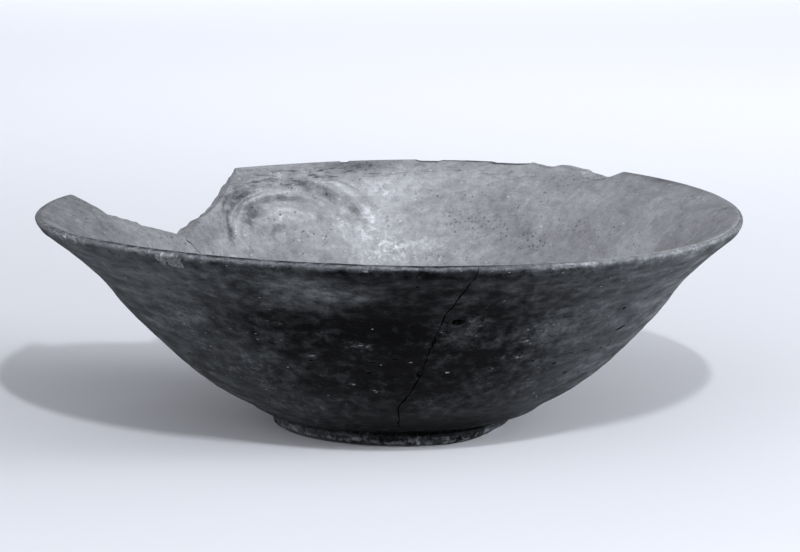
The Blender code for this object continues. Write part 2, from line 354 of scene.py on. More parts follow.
def lip_stations():
    """The lip's section, over the top to the edge and back under it."""
    return [
        (RIM_RADIUS - LIP_WIDTH - 1.2 * MM, LIP_TOP_HEIGHT - 3.3 * MM),
        (RIM_RADIUS - LIP_WIDTH, LIP_TOP_HEIGHT - 2.5 * MM),
        (RIM_RADIUS - 5.7 * MM, LIP_TOP_HEIGHT - 1.65 * MM),
        (RIM_RADIUS - 3.8 * MM, LIP_TOP_HEIGHT - 0.75 * MM),
        (RIM_RADIUS - 2.4 * MM, LIP_TOP_HEIGHT - 0.15 * MM),
        (RIM_RADIUS - 1.2 * MM, LIP_TOP_HEIGHT - 0.05 * MM),
        (RIM_RADIUS - 0.4 * MM, LIP_TOP_HEIGHT - 0.4 * MM),
        (RIM_RADIUS, LIP_EDGE_HEIGHT),
        (RIM_RADIUS - 0.3 * MM, LIP_EDGE_HEIGHT - 1.0 * MM),
    ]


def foot_stations():
    """The foot's section, from its groove down to the resting ring and into the recess."""
    rest_inner, rest_outer = REST_RING_RADII
    return [
        (FOOT_BASE_RADIUS + 1.4 * MM - FOOT_GROOVE, FOOT_HEIGHT - 0.4 * MM),
        (FOOT_BASE_RADIUS + 1.1 * MM, FOOT_HEIGHT - 1.1 * MM),
        (FOOT_BASE_RADIUS + 0.6 * MM, 1.3 * MM),
        (FOOT_BASE_RADIUS - 0.3 * MM, 0.4 * MM),
        (rest_outer, 0.0),
        (rest_inner, 0.0),
        (rest_inner - 1.2 * MM, RECESS_DEPTH * 0.6),
        (rest_inner - 3.5 * MM, RECESS_DEPTH),
        (0.0, RECESS_DEPTH + 0.5 * MM),
    ]


def section(wall_step, lip_step):
    """The bowl's half section and the distance along it at which each stretch ends."""
    floor_and_wall = [(0.0, FLOOR_HEIGHT), FLOOR_BEND, *inside_stations(), *lip_stations()[:2]]
    inside = smooth_curve(floor_and_wall, first=(-FLOOR_BEND[0], FLOOR_BEND[1]), last=lip_stations()[2])
    inside = inside[:-CURVE_STEPS]
    lip = smooth_curve(lip_stations(), first=inside[-1])
    outside = smooth_curve(OUTER_STATIONS[::-1])
    foot = smooth_curve(foot_stations()[:4])
    under = foot_stations()[4:]
    hidden = inside[:, 0] < HIDDEN_FLOOR_RADIUS
    stretches = {
        "floor": resampled(inside[hidden], 2 * wall_step),
        "inside": resampled(inside[~hidden], wall_step),
        "lip": resampled(lip, lip_step),
        "outside": resampled(outside, wall_step),
        "foot": resampled(foot, lip_step),
        "under": resampled(under, 2 * wall_step),
    }
    points = np.vstack([stretch[:-1] if name == "inside" else stretch for name, stretch in stretches.items()])
    run = run_along(points)
    ends, count = {}, 0
    for name, stretch in stretches.items():
        count += len(stretch) - (name == "inside")
        ends[name] = run[count - 1]
    return points, run, ends


def apart(azimuth, middle):
    """The angle in degrees from the middle to an azimuth, from -180 to 180."""
    return (azimuth - middle + 180) % 360 - 180


def hump(azimuth, size, middle, spread):
    """A smooth hump of the given size about the given azimuth, in degrees."""
    return size * np.exp(-((apart(azimuth, middle) / spread) ** 2))


def foot_changed(points):
    """Where points of the true turned foot lie on the worn, uneven one."""
    x, y, z = points.T
    radius = np.maximum(np.hypot(x, y), 0.01 * MM)
    azimuth = np.degrees(np.arctan2(y, x)) % 360
    outside_ring = radius > REST_RING_RADII[1] + 0.1 * MM
    bulge = hump(azimuth, *FOOT_BULGE) * (1 - 0.6 * z / FOOT_HEIGHT)
    out = np.where(outside_ring & (z < FOOT_HEIGHT), bulge, 0)
    up = np.where(outside_ring & (z < FOOT_HEIGHT / 2), hump(azimuth, *FOOT_WEAR), 0)
    near = np.exp(-np.abs(z - FOOT_HEIGHT) / FOOT_HEIGHT)
    near *= outside_ring & (z > FOOT_HEIGHT / 2)
    near *= (z < OUTER_STATIONS[2][1]) & (radius < OUTER_STATIONS[3][0])
    up = up + FOOT_FRONT_LIFT * np.maximum(0, -y / radius) * near
    chipped = eased((OUTER_STATIONS[1][1] - z) / (2.5 * MM)) * (0.6 + 0.4 * eased(z / (2 * MM)))
    out = out + hump(azimuth, *FOOT_CHIP) * chipped * outside_ring
    out = out + hump(azimuth, *FOOT_FILLET) * near
    return points + np.stack([x / radius * out, y / radius * out, up], axis=1)


def eased(value):
    """Rises smoothly from 0 to 1 as the value does."""
    value = np.clip(value, 0, 1)
    return value * value * (3 - 2 * value)


def rim_changed(points):
    """Where points of the true turned wall lie on the one that is pressed in at the left."""
    x, y, z = points.T
    share = eased(z / LIP_EDGE_HEIGHT) * hump(np.degrees(np.arctan2(y, x)), *RIM_DENT)
    share = share / np.maximum(np.hypot(x, y), 1 * MM)
    return points + np.stack([x * share, y * share, np.zeros_like(x)], axis=1)


def edge_kept(azimuth):
    """How much is left of the lip's raised inner edge at an azimuth in radians."""
    middle, reach = LIP_EDGE_KEPT
    return eased((reach - np.abs(apart(np.degrees(azimuth), middle))) / 12)


def out_of_true(points):
    """Where points of the true turned form lie on the leaning, warped bowl."""
    x, y, z = points.T
    lean, lift = lean_and_lift(np.arctan2(y, x), z)
    return np.stack([x + lean, y, z + lift], axis=1)


def lean_and_lift(azimuth, height):
    share = np.maximum(0, height / LIP_EDGE_HEIGHT)
    held = 1 - (1 - LEAN_AT_BASE) * np.exp(-height / LEAN_RISE)
    lean = LEAN * (1 - np.minimum(1, share) ** 2) * held
    warp = RIM_WARP * np.sin(2 * azimuth - RIM_WARP_TURN) - RIM_TILT * np.cos(azimuth)
    return lean, warp * share**2


def made_true(points):
    """Where points of the leaning, warped bowl lie on the true turned form."""
    x, y, z = points.T
    lean, lift = np.zeros_like(x), np.zeros_like(x)
    for _ in range(4):
        lean, lift = lean_and_lift(np.arctan2(y, x - lean), z - lift)
    return np.stack([x - lean, y, z - lift], axis=1)


def draw_section(points):
    """A single vertex drawn out into the section, as by hand."""
    deselect_all()
    bpy.ops.mesh.primitive_plane_add(size=MM, location=(points[0][0], 0, points[0][1]))
    obj = bpy.context.object
    bpy.ops.object.transform_apply(location=True, rotation=False, scale=False)
    edit(obj)
    bpy.ops.mesh.merge(type="CENTER")
    for here, there in zip(points, points[1:]):
        step = (there[0] - here[0], 0, there[1] - here[1])
        bpy.ops.mesh.extrude_region_move(TRANSFORM_OT_translate={"value": step})
    bpy.ops.object.mode_set(mode="OBJECT")
    return obj


def coordinates(mesh, of="co"):
    values = np.empty(len(mesh.vertices) * 3, np.float32)
    mesh.vertices.foreach_get(of, values)
    return values.reshape(-1, 3).astype(float)


def set_coordinates(mesh, points):
    mesh.vertices.foreach_set("co", points.astype(np.float32).ravel())
    mesh.update()


def noise_at(places, seed):
    """Smooth noise from about -1 to 1 at each of these places."""
    shift = Vector((seed * 3.1, seed * 5.7, seed * 1.3))
    return np.array([noise.noise(Vector(place) + shift) for place in places])


# Sizes of what the noise shapes on the skin: dents, lumps, rubbed spots and the worn spots of the foot
DENT_SIZE = 26 * MM
LUMP_SIZE = 9 * MM
RUB_SIZE = 3.2 * MM
WORN_SIZES = (2.6 * MM, 6.5 * MM)

# The wheel marks: lengths of their fine and coarse waves, and how far along they strengthen and waver
MARK_WAVES = (0.62 * MM, 1.07 * MM)
MARK_STRENGTH_SIZE = 30 * MM
MARK_WAVER_SIZE = 40 * MM


class BOWL_OT_throw_body(bpy.types.Operator):
    """Throws the body, lip and foot on the wheel, with its marks and unevenness"""

    bl_idname = "bowl.throw_body"
    bl_label = "Throw the Body"

    def execute(self, context):
        shape = context.scene.bowl_shape
        points, run, ends = section(shape.wall_step, shape.lip_step)
        bowl = draw_section(points)
        bowl.name = PIECE
        apply_modifier(
            bowl,
            "SCREW",
            axis="Z",
            steps=shape.steps_round,
            render_steps=shape.steps_round,
            use_merge_vertices=True,
            merge_threshold=0.001 * MM,
        )
        edit(bowl)
        face_outwards()
        true = coordinates(bowl.data)
        normals = coordinates(bowl.data, "normal")
        along = run_of(true, points, run)
        azimuth = np.arctan2(true[:, 1], true[:, 0])
        relief = self.relief(azimuth, along, np.hypot(true[:, 0], true[:, 1]), ends, shape)
        moved = true + normals * relief[:, None]
        moved[:, 2] = np.maximum(moved[:, 2], 0)
        set_coordinates(bowl.data, out_of_true(rim_changed(foot_changed(moved))))
        return {"FINISHED"}

    def relief(self, azimuth, along, radius, ends, shape):
        """How far each point stands proud of the true turned form."""
        turned = laid_out(azimuth, along)
        dents = noise_at(turned / DENT_SIZE, 1) * shape.unevenness
        lumps = noise_at(turned * (1, 1, 2.2) / LUMP_SIZE, 2) * shape.unevenness * 0.45
        strength = 0.55 + 0.6 * noise_at(turned / MARK_STRENGTH_SIZE, 3)
        waver = noise_at(turned / MARK_WAVER_SIZE, 4) * 2.2
        fine, coarse = (along / wave for wave in MARK_WAVES)
        marks = np.sin(fine + waver * 2) * 0.45 + np.sin(coarse - waver * 3)
        marks = marks * strength * shape.wheel_mark_depth
        rubbed = noise_at(turned * (1, 1, 2.0) / RUB_SIZE, 5) * 0.025 * MM
        relief = dents + lumps + marks + rubbed
        on_foot = (along > ends["outside"] - 1 * MM) & (radius > REST_RING_RADII[1])
        fine, coarse = (noise_at(turned / size, seed) for size, seed in zip(WORN_SIZES, (6, 7)))
        worn = fine * 0.16 * MM + coarse * 0.22 * MM
        relief = np.where(on_foot, worn, relief)
        under = along > ends["foot"]
        relief = np.where(under, relief * 0.6, relief)
        edge = self.lip_ridge(along - ends["lip"], *LIP_EDGE)
        groove = self.lip_ridge(along - ends["lip"], *LIP_GROOVE)
        return relief + (edge - groove) * edge_kept(azimuth)

    def lip_ridge(self, along, height, inside, half_width):
        return height * np.exp(-(((along + inside) / half_width) ** 2))


def laid_out(azimuth, along):
    """Places on the cylinder on which the skin is laid out."""
    around = np.column_stack([np.cos(azimuth), np.sin(azimuth)]) * TURNED_RADIUS
    return np.column_stack([around, along])


def run_of(true, points, run):
    """The distance along the section of each point of the true turned form."""
    fine = resampled(points, 0.15 * MM)
    fine_run = np.linspace(0, run[-1], len(fine))
    tree = kdtree.KDTree(len(fine))
    for index, (radius, height) in enumerate(fine):
        tree.insert((radius, 0, height), index)
    tree.balance()
    radii = np.hypot(true[:, 0], true[:, 1])
    return np.array([fine_run[tree.find((r, 0, z))[1]] for r, z in zip(radii, true[:, 2])])


# The break


def material(name):
    return bpy.data.materials.get(name) or bpy.data.materials.new(name)


def cut_away(bowl, cutter):
    """Cuts with the cutter, whose material the new faces take, and removes it and any loose crumbs."""
    apply_modifier(
        bowl,
        "BOOLEAN",
        operation="DIFFERENCE",
        solver="MANIFOLD",
        material_mode="TRANSFER",
        object=cutter,
    )
    remove(cutter)
    edit(bowl)
    bpy.ops.mesh.select_mode(type="VERT")
    bpy.ops.mesh.select_all(action="DESELECT")
    mesh = bmesh.from_edit_mesh(bowl.data)
    lowest = min(mesh.verts, key=lambda vertex: vertex.co.z)
    lowest.select = True
    bpy.ops.mesh.select_linked()
    bpy.ops.mesh.select_all(action="INVERT")
    bpy.ops.mesh.delete(type="VERT")
    bpy.ops.object.mode_set(mode="OBJECT")


def radius_at(height):
    """The outside radius of the true form at a height."""
    radii, heights = np.array(OUTER_STATIONS).T
    return np.interp(height, [*heights, LIP_EDGE_HEIGHT], [*radii, RIM_RADIUS])


def broken_face(stations, spacing):
    """Azimuth, height, slope and the way out of the clay at even steps along a broken edge."""
    azimuths, heights, slopes = np.array(stations).T
    flat = np.stack([np.radians(azimuths) * RIM_RADIUS, heights], axis=1)
    run = run_along(flat)
    fine = resampled(flat, spacing)
    slope = np.interp(np.linspace(0, run[-1], len(fine)), run, slopes)
    way = np.gradient(fine, axis=0)
    way /= np.linalg.norm(way, axis=1)[:, None]
    return np.stack([fine[:, 0] / RIM_RADIUS, fine[:, 1], slope, way[:, 1], -way[:, 0]], axis=1)


def fracture_roughness(places):
    """The grain and the small steps of a fracture through coarse clay."""
    grain = noise_at(places / (0.9 * MM), 11) * 0.17 * MM
    steps = noise_at(places / (3.0 * MM), 12) * 0.30 * MM
    ledges = np.round(noise_at(places / (5.0 * MM), 13) * 2.4) / 2.4 * 0.25 * MM
    return grain + steps + ledges


def upright(radius, azimuth, height):
    """Points from their radius, azimuth in radians and height."""
    return np.stack([radius * np.cos(azimuth), radius * np.sin(azimuth), height], axis=1)


def cut_above(bowl, face, radii, roughness, name):
    """Cuts off all that lies over a broken face, which goes round the bowl and across its wall."""
    deselect_all()
    bpy.ops.mesh.primitive_grid_add(x_subdivisions=len(face) - 1, y_subdivisions=len(radii) - 1, size=2)
    cutter = bpy.context.object
    places = coordinates(cutter.data)
    column = np.rint((places[:, 0] + 1) / 2 * (len(face) - 1)).astype(int)
    radius = np.array(radii)[np.rint((places[:, 1] + 1) / 2 * (len(radii) - 1)).astype(int)]
    azimuth, height, slope, out_x, out_z = face[column].T
    low = height + slope * (radius - radius_at(height))
    rough = roughness * fracture_roughness(upright(radius, azimuth, low))
    set_coordinates(cutter.data, upright(radius, azimuth + rough * out_x / RIM_RADIUS, low + rough * out_z))
    cutter.data.materials.append(material(name))
    edit(cutter)
    bpy.ops.mesh.extrude_region_move(TRANSFORM_OT_translate={"value": (0, 0, CUTTER_TOP)})
    bpy.ops.transform.resize(value=(1, 1, 0), center_override=(0, 0, CUTTER_TOP))
    face_outwards()
    cut_away(bowl, cutter)


class BOWL_OT_break_rim(bpy.types.Operator):
    """Breaks away the lost part of the rim and wall, leaving a rough fracture"""

    bl_idname = "bowl.break_rim"
    bl_label = "Break the Rim"

    def execute(self, context):
        cut_above(bpy.data.objects[PIECE], broken_face(BREAK, 0.6 * MM), BREAK_RINGS, 1.0, "broken_clay")
        return {"FINISHED"}


# Chips, the join and the pits


def sculpted_flake(name, detail, seed, roughness, grain):
    """A lumpy ball of radius 1, from which a chip or a pit is shaped."""
    deselect_all()
    bpy.ops.mesh.primitive_ico_sphere_add(subdivisions=detail, radius=1)
    flake = bpy.context.object
    flake.name = name
    places = coordinates(flake.data)
    swell = 1 + roughness * noise_at(places * 1.3, seed) + grain * noise_at(places * 5.0, seed + 1)
    set_coordinates(flake.data, places * swell[:, None])
    return flake


def place_mesh(obj, matrix):
    obj.data.transform(matrix)
    obj.data.update()


def join(objects):
    deselect_all()
    for obj in objects:
        obj.select_set(True)
    bpy.context.view_layer.objects.active = objects[0]
    if len(objects) > 1:
        bpy.ops.object.join()
    return objects[0]


# Scars on the outer edge of the lip: azimuth, and in millimetres the height, half length, half height and
# depth
LIP_SCARS = scaled((1, MM, MM, MM, MM), [
    (-123.3, 64.5, 2.9, 3.0, 0.6), (-126.4, 66.0, 1.1, 2.2, 0.4), (-150.6, 66.0, 1.8, 1.0, 0.5),
    (-147.0, 65.2, 1.1, 0.7, 0.4), (-62.0, 66.9, 3.6, 0.6, 0.3),
])
NICK_COUNT = 34


class BOWL_OT_chip_rim(bpy.types.Operator):
    """Chips and rubs the top and the outer edge of the rim"""

    bl_idname = "bowl.chip_rim"
    bl_label = "Chip the Rim"

    def execute(self, context):
        bowl = bpy.data.objects[PIECE]
        cut_above(bowl, broken_face(RIM_WEAR, 0.6 * MM), RIM_RINGS, 0.25, "rubbed_clay")
        cut_above(bowl, broken_face(RIM_CHIPS, 0.5 * MM), RIM_RINGS, 0.35, "broken_clay")
        surface = Surface(bowl)
        flakes = [self.scar(surface, index, *scar) for index, scar in enumerate(LIP_SCARS)]
        flakes += self.nicks(surface)
        flake = join(flakes)
        flake.data.materials.append(material("rubbed_clay"))
        cut_away(bowl, flake)
        return {"FINISHED"}

    def scar(self, surface, index, azimuth, height, half_length, half_height, depth):
        flake = sculpted_flake("scar", 4, 40 + index, 0.22, 0.08)
        point, normal = surface.outside(azimuth, height)
        deep = depth * 1.8
        place = frame_on(point + normal * (deep - depth), normal)
        place_mesh(flake, place @ Matrix.Diagonal((half_length, half_height, deep, 1)))
        return flake

    def nicks(self, surface):
        """Small nicks all along the outer edge of the lip."""
        random_source = random.Random(7)
        nicks = []
        for _ in range(NICK_COUNT):
            azimuth = random_source.uniform(-195, 30)
            height = LIP_EDGE_HEIGHT + random_source.uniform(-1.0, 0.7) * MM
            point, normal = surface.outside(azimuth, height)
            if point is None:
                continue
            size = random_source.uniform(0.25, 0.6) * MM
            nick = sculpted_flake("nick", 2, 60 + len(nicks), 0.35, 0.0)
            place = frame_on(point + normal * size * 0.3, normal)
            sizes = (size * random_source.uniform(1, 2.6), size, size * 0.6, 1)
            place_mesh(nick, place @ Matrix.Diagonal(sizes))
            nicks.append(nick)
        return nicks


class Surface:
    """Finds points on the bowl by their azimuth and height on the true turned form."""

    reach = 200 * MM

    def __init__(self, obj):
        true = made_true(coordinates(obj.data))
        self.tree = BVHTree.FromPolygons(true.tolist(), [face.vertices for face in obj.data.polygons])

    def hit(self, start, direction):
        """The point and the normal where a ray meets the bowl, or None twice."""
        point, normal, _, _ = self.tree.ray_cast(start, direction, self.reach)
        if point is None:
            return None, None
        place = Vector(out_of_true(np.array([point]))[0])
        return place, (normal if normal.dot(direction) < 0 else -normal)

    def way_out(self, azimuth):
        return Vector((math.cos(math.radians(azimuth)), math.sin(math.radians(azimuth)), 0))

    def outside(self, azimuth, height):
        out = self.way_out(azimuth)
        return self.hit(out * self.reach + Vector((0, 0, height)), -out)

    def inside(self, azimuth, height):
        return self.hit(Vector((0, 0, height)), self.way_out(azimuth))

    def from_above(self, x, y):
        return self.hit(Vector((x, y, self.reach)), Vector((0, 0, -1)))


def frame_on(point, normal):
    """A frame on the surface: X runs round the bowl and Z stands out of it."""
    across = Vector((0, 0, 1)).cross(normal)
    across = across.normalized() if across.length > 1e-4 else Vector((1, 0, 0))
    up = normal.cross(across).normalized()
    turn = Matrix((across, up, normal.normalized())).transposed().to_4x4()
    return Matrix.Translation(point) @ turn


class BOWL_OT_open_join(bpy.types.Operator):
    """Opens the line of the mended join along the wall, inside and outside, and the cracks beside it"""

    bl_idname = "bowl.open_join"
    bl_label = "Open the Join"

    def execute(self, context):
        bowl = bpy.data.objects[PIECE]
        width = context.scene.bowl_shape.join_width
        depth = context.scene.bowl_shape.join_depth
        surface = Surface(bowl)
        outside = [surface.outside(*place) for place in self.fine(OUTSIDE_JOIN)]
        inside = [surface.inside(*place) for place in self.fine(INSIDE_JOIN)]
        inside += [surface.from_above(x, y) for x, y in self.over_the_floor(inside[-1][0])]
        blades = [self.blade(outside, width, depth, 31), self.blade(inside, width, depth, 32)]
        for index, (crack_width, crack_depth, stations) in enumerate(OUTSIDE_CRACKS):
            hits = [surface.outside(*place) for place in self.fine(scaled((1, MM), stations))]
            blades.append(self.blade(hits, crack_width * MM, crack_depth * MM, 50 + index))
        blade = join(blades)
        blade.data.materials.append(material("dirt"))
        cut_away(bowl, blade)
        return {"FINISHED"}

    def fine(self, stations):
        """Azimuths and heights at even steps along a line."""
        flat = [(math.radians(azimuth) * JOIN_RADIUS, height) for azimuth, height in stations]
        return [(math.degrees(x / JOIN_RADIUS), z) for x, z in resampled(flat, 0.8 * MM)]

    def over_the_floor(self, start):
        """The hidden run of the join, down the wall from its start and over the floor."""
        stops = [(start.x, start.y), (start.x * 0.62 + 3 * MM, start.y * 0.66), *FLOOR_JOIN]
        return [tuple(stop) for stop in resampled(smooth_curve(stops), 1.2 * MM)][1:]

    def blade(self, hits, width, depth, seed):
        """A thin wedge that follows the surface: three corners at each step."""
        hits = [(np.array(point), np.array(normal)) for point, normal in hits if point is not None]
        points = np.array([point for point, _ in hits])
        normals = np.array([normal for _, normal in hits])
        ways = np.gradient(points, axis=0)
        sides = np.cross(normals, ways)
        sides /= np.linalg.norm(sides, axis=1)[:, None]
        sway = noise_at(points / (2.6 * MM), seed) * 0.4 + noise_at(points / (1.2 * MM), seed + 2) * 0.16
        points = points + sides * sway[:, None] * MM
        widths = width * np.clip(1 + 1.5 * noise_at(points / (3.0 * MM), seed + 1), 0.45, 1.7)
        steps = np.arange(len(points))
        taper = np.minimum(1, np.minimum(steps, steps[::-1]) / 3 + 0.2)
        half = (widths * taper / 2)[:, None] * (1 + BLADE_TOP / depth)
        above = normals * BLADE_TOP
        corners = [points + sides * half + above, points - sides * half + above, points + normals * -depth]
        return swept(np.stack(corners, axis=1))


def swept(rings):
    """A closed tube whose cross-sections are these rings of corners, made by extruding the first of them."""
    deselect_all()
    bpy.ops.mesh.primitive_circle_add(vertices=len(rings[0]), radius=MM, fill_type="NGON")
    tube = bpy.context.object
    bpy.ops.object.mode_set(mode="EDIT")
    mesh = bmesh.from_edit_mesh(tube.data)
    for vertex, corner in zip(mesh.verts, rings[0]):
        vertex.co = corner
    for ring in rings[1:]:
        bpy.ops.mesh.extrude_region_move()
        mesh = bmesh.from_edit_mesh(tube.data)
        moved = [vertex for vertex in mesh.verts if vertex.select]
        for vertex, corner in zip(moved, ring):
            vertex.co = corner
    face_outwards()
    return tube


# The larger pits of the outside: azimuth, and in millimetres the height, half width, half height and depth
OUTSIDE_PITS = scaled((1, MM, MM, MM, MM), [
    (-77.9, 48.6, 1.9, 1.45, 1.7), (-84.5, 30.4, 1.0, 1.5, 1.0), (-82.3, 41.4, 0.6, 1.0, 0.7),
    (-24.0, 27.5, 1.1, 0.4, 0.6), (-33.8, 15.6, 1.0, 0.4, 0.5), (-40.8, 47.8, 0.8, 0.45, 0.6),
])

# Pale grits laid bare in the burnish: azimuth, and in millimetres the height, half width and half height
PALE_GRITS = scaled((1, MM, MM, MM), [
    (-78.3, 30.9, 0.68, 0.44), (-63.2, 34.9, 0.56, 0.32), (-62.8, 40.9, 0.50, 0.40),
    (-60.5, 44.0, 0.36, 0.24), (-86.5, 34.8, 0.48, 0.28), (-80.9, 47.2, 0.40, 0.24),
    (-58.2, 45.7, 0.32, 0.24), (-68.1, 31.6, 0.28, 0.24), (-46.1, 39.0, 0.36, 0.28),
    (-35.6, 35.4, 0.32, 0.24), (-53.1, 58.3, 0.36, 0.28), (-62.9, 65.0, 0.36, 0.28),
    (-45.7, 61.3, 0.32, 0.28), (-114.2, 65.6, 0.36, 0.28), (-142.3, 55.4, 0.40, 0.40),
    (-159.5, 37.5, 0.32, 0.32), (-106.8, 36.3, 0.48, 0.24), (-99.7, 26.4, 0.40, 0.36),
    (-95.0, 24.4, 0.44, 0.28), (-107.3, 21.6, 0.36, 0.24), (-112.1, 55.2, 0.40, 0.24),
    (-96.2, 40.6, 0.72, 0.28), (-95.0, 40.2, 0.48, 0.24), (-117.2, 42.4, 0.36, 0.24),
    (-130.3, 40.4, 0.32, 0.24), (-136.7, 24.3, 0.32, 0.24),
])

# The pits and grits at random: the seed, how many, and the limits of azimuth and, in millimetres, of height
# and size
OUTSIDE_SCATTER = (12, 44, (-180, 180), (12, 64), (0.22, 0.5))
INSIDE_SCATTER = (13, 36, (-180, 180), (13, 64), (0.18, 0.38))
GRIT_SCATTER = (14, 40, (-180, 0), (12, 62), (0.15, 0.32))

# The most that a random pit is turned, in radians
PIT_TURN = 0.7


class BOWL_OT_pit_surface(bpy.types.Operator):
    """Pits the surface where grains and air have left it, and lays grits bare"""

    bl_idname = "bowl.pit_surface"
    bl_label = "Pit the Surface"

    def execute(self, context):
        bowl = bpy.data.objects[PIECE]
        surface = Surface(bowl)
        model = sculpted_flake("pit", 2, 80, 0.35, 0.0)
        self.cut(bowl, model, self.outside_pits(surface), "dirt")
        self.cut(bowl, model, self.inside_pits(surface), "pit_dust")
        self.cut(bowl, model, self.grits(surface), "pale_grit")
        remove(model)
        return {"FINISHED"}

    def scattered(self, seed, count, azimuths, heights, sizes):
        """Azimuth, height and size of each of many random pits, and the source for further draws."""
        source = random.Random(seed)
        for _ in range(count):
            azimuth, height, size = (source.uniform(*limits) for limits in (azimuths, heights, sizes))
            yield azimuth, height * MM, size * MM, source

    def outside_pits(self, surface):
        pits = [(surface.outside(azimuth, height), sizes, 0) for azimuth, height, *sizes in OUTSIDE_PITS]
        for azimuth, height, size, source in self.scattered(*OUTSIDE_SCATTER):
            sizes = (size * source.uniform(1.0, 2.6), size, size)
            pits.append((surface.outside(azimuth, height), sizes, source.random()))
        return pits

    def inside_pits(self, surface):
        pits = []
        for azimuth, height, size, source in self.scattered(*INSIDE_SCATTER):
            pits.append((surface.inside(azimuth, height), (size * 1.3, size, size * 0.8), source.random()))
        return pits

    def grits(self, surface):
        """Shallow bare faces of grits, the larger ones where they are seen and small ones at random."""
        grits = [
            (surface.outside(azimuth, height), (half_width, half_height, 0.12 * MM), 0)
            for azimuth, height, half_width, half_height in PALE_GRITS
        ]
        for azimuth, height, size, source in self.scattered(*GRIT_SCATTER):
            grits.append((surface.outside(azimuth, height), (size * 1.4, size, 0.1 * MM), source.random()))
        return grits

    def cut(self, bowl, model, hits, name):
        """Cuts a copy of the model, in its own size and turn, into the bowl at each place that was hit."""
        pits = []
        for (point, normal), sizes, turn in hits:
            if point is None:
                continue
            pit = model.copy()
            pit.data = model.data.copy()
            bpy.context.collection.objects.link(pit)
            spin = Matrix.Rotation(turn * PIT_TURN, 4, "Z")
            place_mesh(pit, frame_on(point, normal) @ spin @ Matrix.Diagonal((*sizes, 1)))
            pits.append(pit)
        cutter = join(pits)
        cutter.data.materials.append(material(name))
        cut_away(bowl, cutter)


# Materials

# Sockets of a colour Mix node
MIX_SHARE, MIX_FIRST, MIX_SECOND = 0, 6, 7
MIX_RESULT = 2


class Nodes:
    """Adds and links the nodes of one material or world."""

    def __init__(self, name=None, tree=None):
        self.made = material(name) if name else None
        if self.made:
            self.made.use_nodes = True
        self.tree = tree or self.made.node_tree
        self.tree.nodes.clear()

    def node(self, kind, inputs=None, **settings):
        node = self.tree.nodes.new("ShaderNode" + kind)
        for name, value in settings.items():
            setattr(node, name, value)
        for socket, value in (inputs or {}).items():
            self.feed(node.inputs[socket], value)
        return node

    def feed(self, socket, value):
        if isinstance(value, bpy.types.NodeSocket):
            self.tree.links.new(value, socket)
        else:
            socket.default_value = value

    def maths(self, operation, first, second=0.0):
        return self.node("Math", {0: first, 1: second}, operation=operation).outputs[0]

    def product(self, first, second):
        return self.maths("MULTIPLY", first, second)

    def total(self, *parts):
        """The sum of sockets, each with its share."""
        result = 0.0
        for value, share in parts:
            result = self.maths("ADD", result, self.product(value, share))
        return result

    def uneven(self, tone, *noises):
        """The tone, lightened and darkened by noises, each with its share."""
        return self.total((tone, 1.0), *((self.centred(noise), share) for noise, share in noises))

    def attribute(self, name, output="Fac"):
        return self.node("Attribute", attribute_name=name).outputs[output]

    def placed(self, place, scale=(1, 1, 1), shift=(0, 0, 0), turn=(0, 0, 0)):
        inputs = {"Vector": place, "Scale": scale, "Location": shift, "Rotation": turn}
        return self.node("Mapping", inputs).outputs[0]

    def noise(self, place, size, detail=3.0, roughness=0.55, warp=0.0, scale=None):
        """Noise with grains of a size in metres. A scale over 1 flattens them along its axis."""
        place = self.placed(place, scale) if scale else place
        inputs = {"Vector": place, "Scale": 1 / size, "Detail": detail, "Roughness": roughness}
        return self.node("TexNoise", {**inputs, "Distortion": warp}).outputs["Fac"]

    def span(self, value, low, high, start=0.0, end=1.0):
        """The value as it rises smoothly from start to end between low and high."""
        inputs = {"Value": value, "From Min": low, "From Max": high, "To Min": start, "To Max": end}
        return self.node("MapRange", inputs, interpolation_type="SMOOTHSTEP").outputs[0]

    def ridge(self, value, middle, half_width):
        """1 where the value is in the middle, and 0 from the half width on."""
        away = self.maths("ABSOLUTE", self.maths("SUBTRACT", value, middle))
        return self.span(away, 0.0, half_width, 1.0, 0.0)

    def blend(self, share, first, second):
        """A colour that goes from the first to the second as the share goes from 0 to 1."""
        mix = self.node("Mix", {MIX_SHARE: share}, data_type="RGBA")
        self.feed(mix.inputs[MIX_FIRST], (*first, 1))
        self.feed(mix.inputs[MIX_SECOND], (*second, 1))
        return mix.outputs[MIX_RESULT]

    def between(self, share, first, second):
        """A number that goes from the first to the second as the share goes from 0 to 1."""
        return self.node("Mix", {0: share, 2: first, 3: second}).outputs[0]

    def centred(self, value):
        return self.maths("SUBTRACT", value, 0.5)

    def specks(self, place, size, radius, rarity):
        """Small round specks in some of the cells: their radius is a share of the cell's size."""
        cells = self.node("TexVoronoi", {"Vector": place, "Scale": 1 / size})
        pick = self.node("SeparateColor", {0: cells.outputs["Color"]}).outputs[0]
        chosen = self.span(pick, rarity, rarity + 0.04)
        return self.product(chosen, self.span(cells.outputs["Distance"], radius, radius * 1.8, 1.0, 0.0))

    def bump(self, height, distance):
        return self.node("Bump", {"Height": height, "Distance": distance}).outputs[0]

    def shade(self, colour, roughness, specular, normal=None):
        inputs = {"Base Color": colour, "Roughness": roughness, "Specular IOR Level": specular}
        if normal is not None:
            inputs["Normal"] = normal
        shader = self.node("BsdfPrincipled", inputs)
        self.node("OutputMaterial", {"Surface": shader.outputs[0]})


# The finish


def store(mesh, name, values):
    """Keeps a number or a vector for each point of the mesh, for the materials."""
    values = np.asarray(values, np.float32)
    kind, field = ("FLOAT_VECTOR", "vector") if values.ndim == 2 else ("FLOAT", "value")
    attribute = mesh.attributes.get(name) or mesh.attributes.new(name, kind, "POINT")
    attribute.data.foreach_set(field, values.ravel())


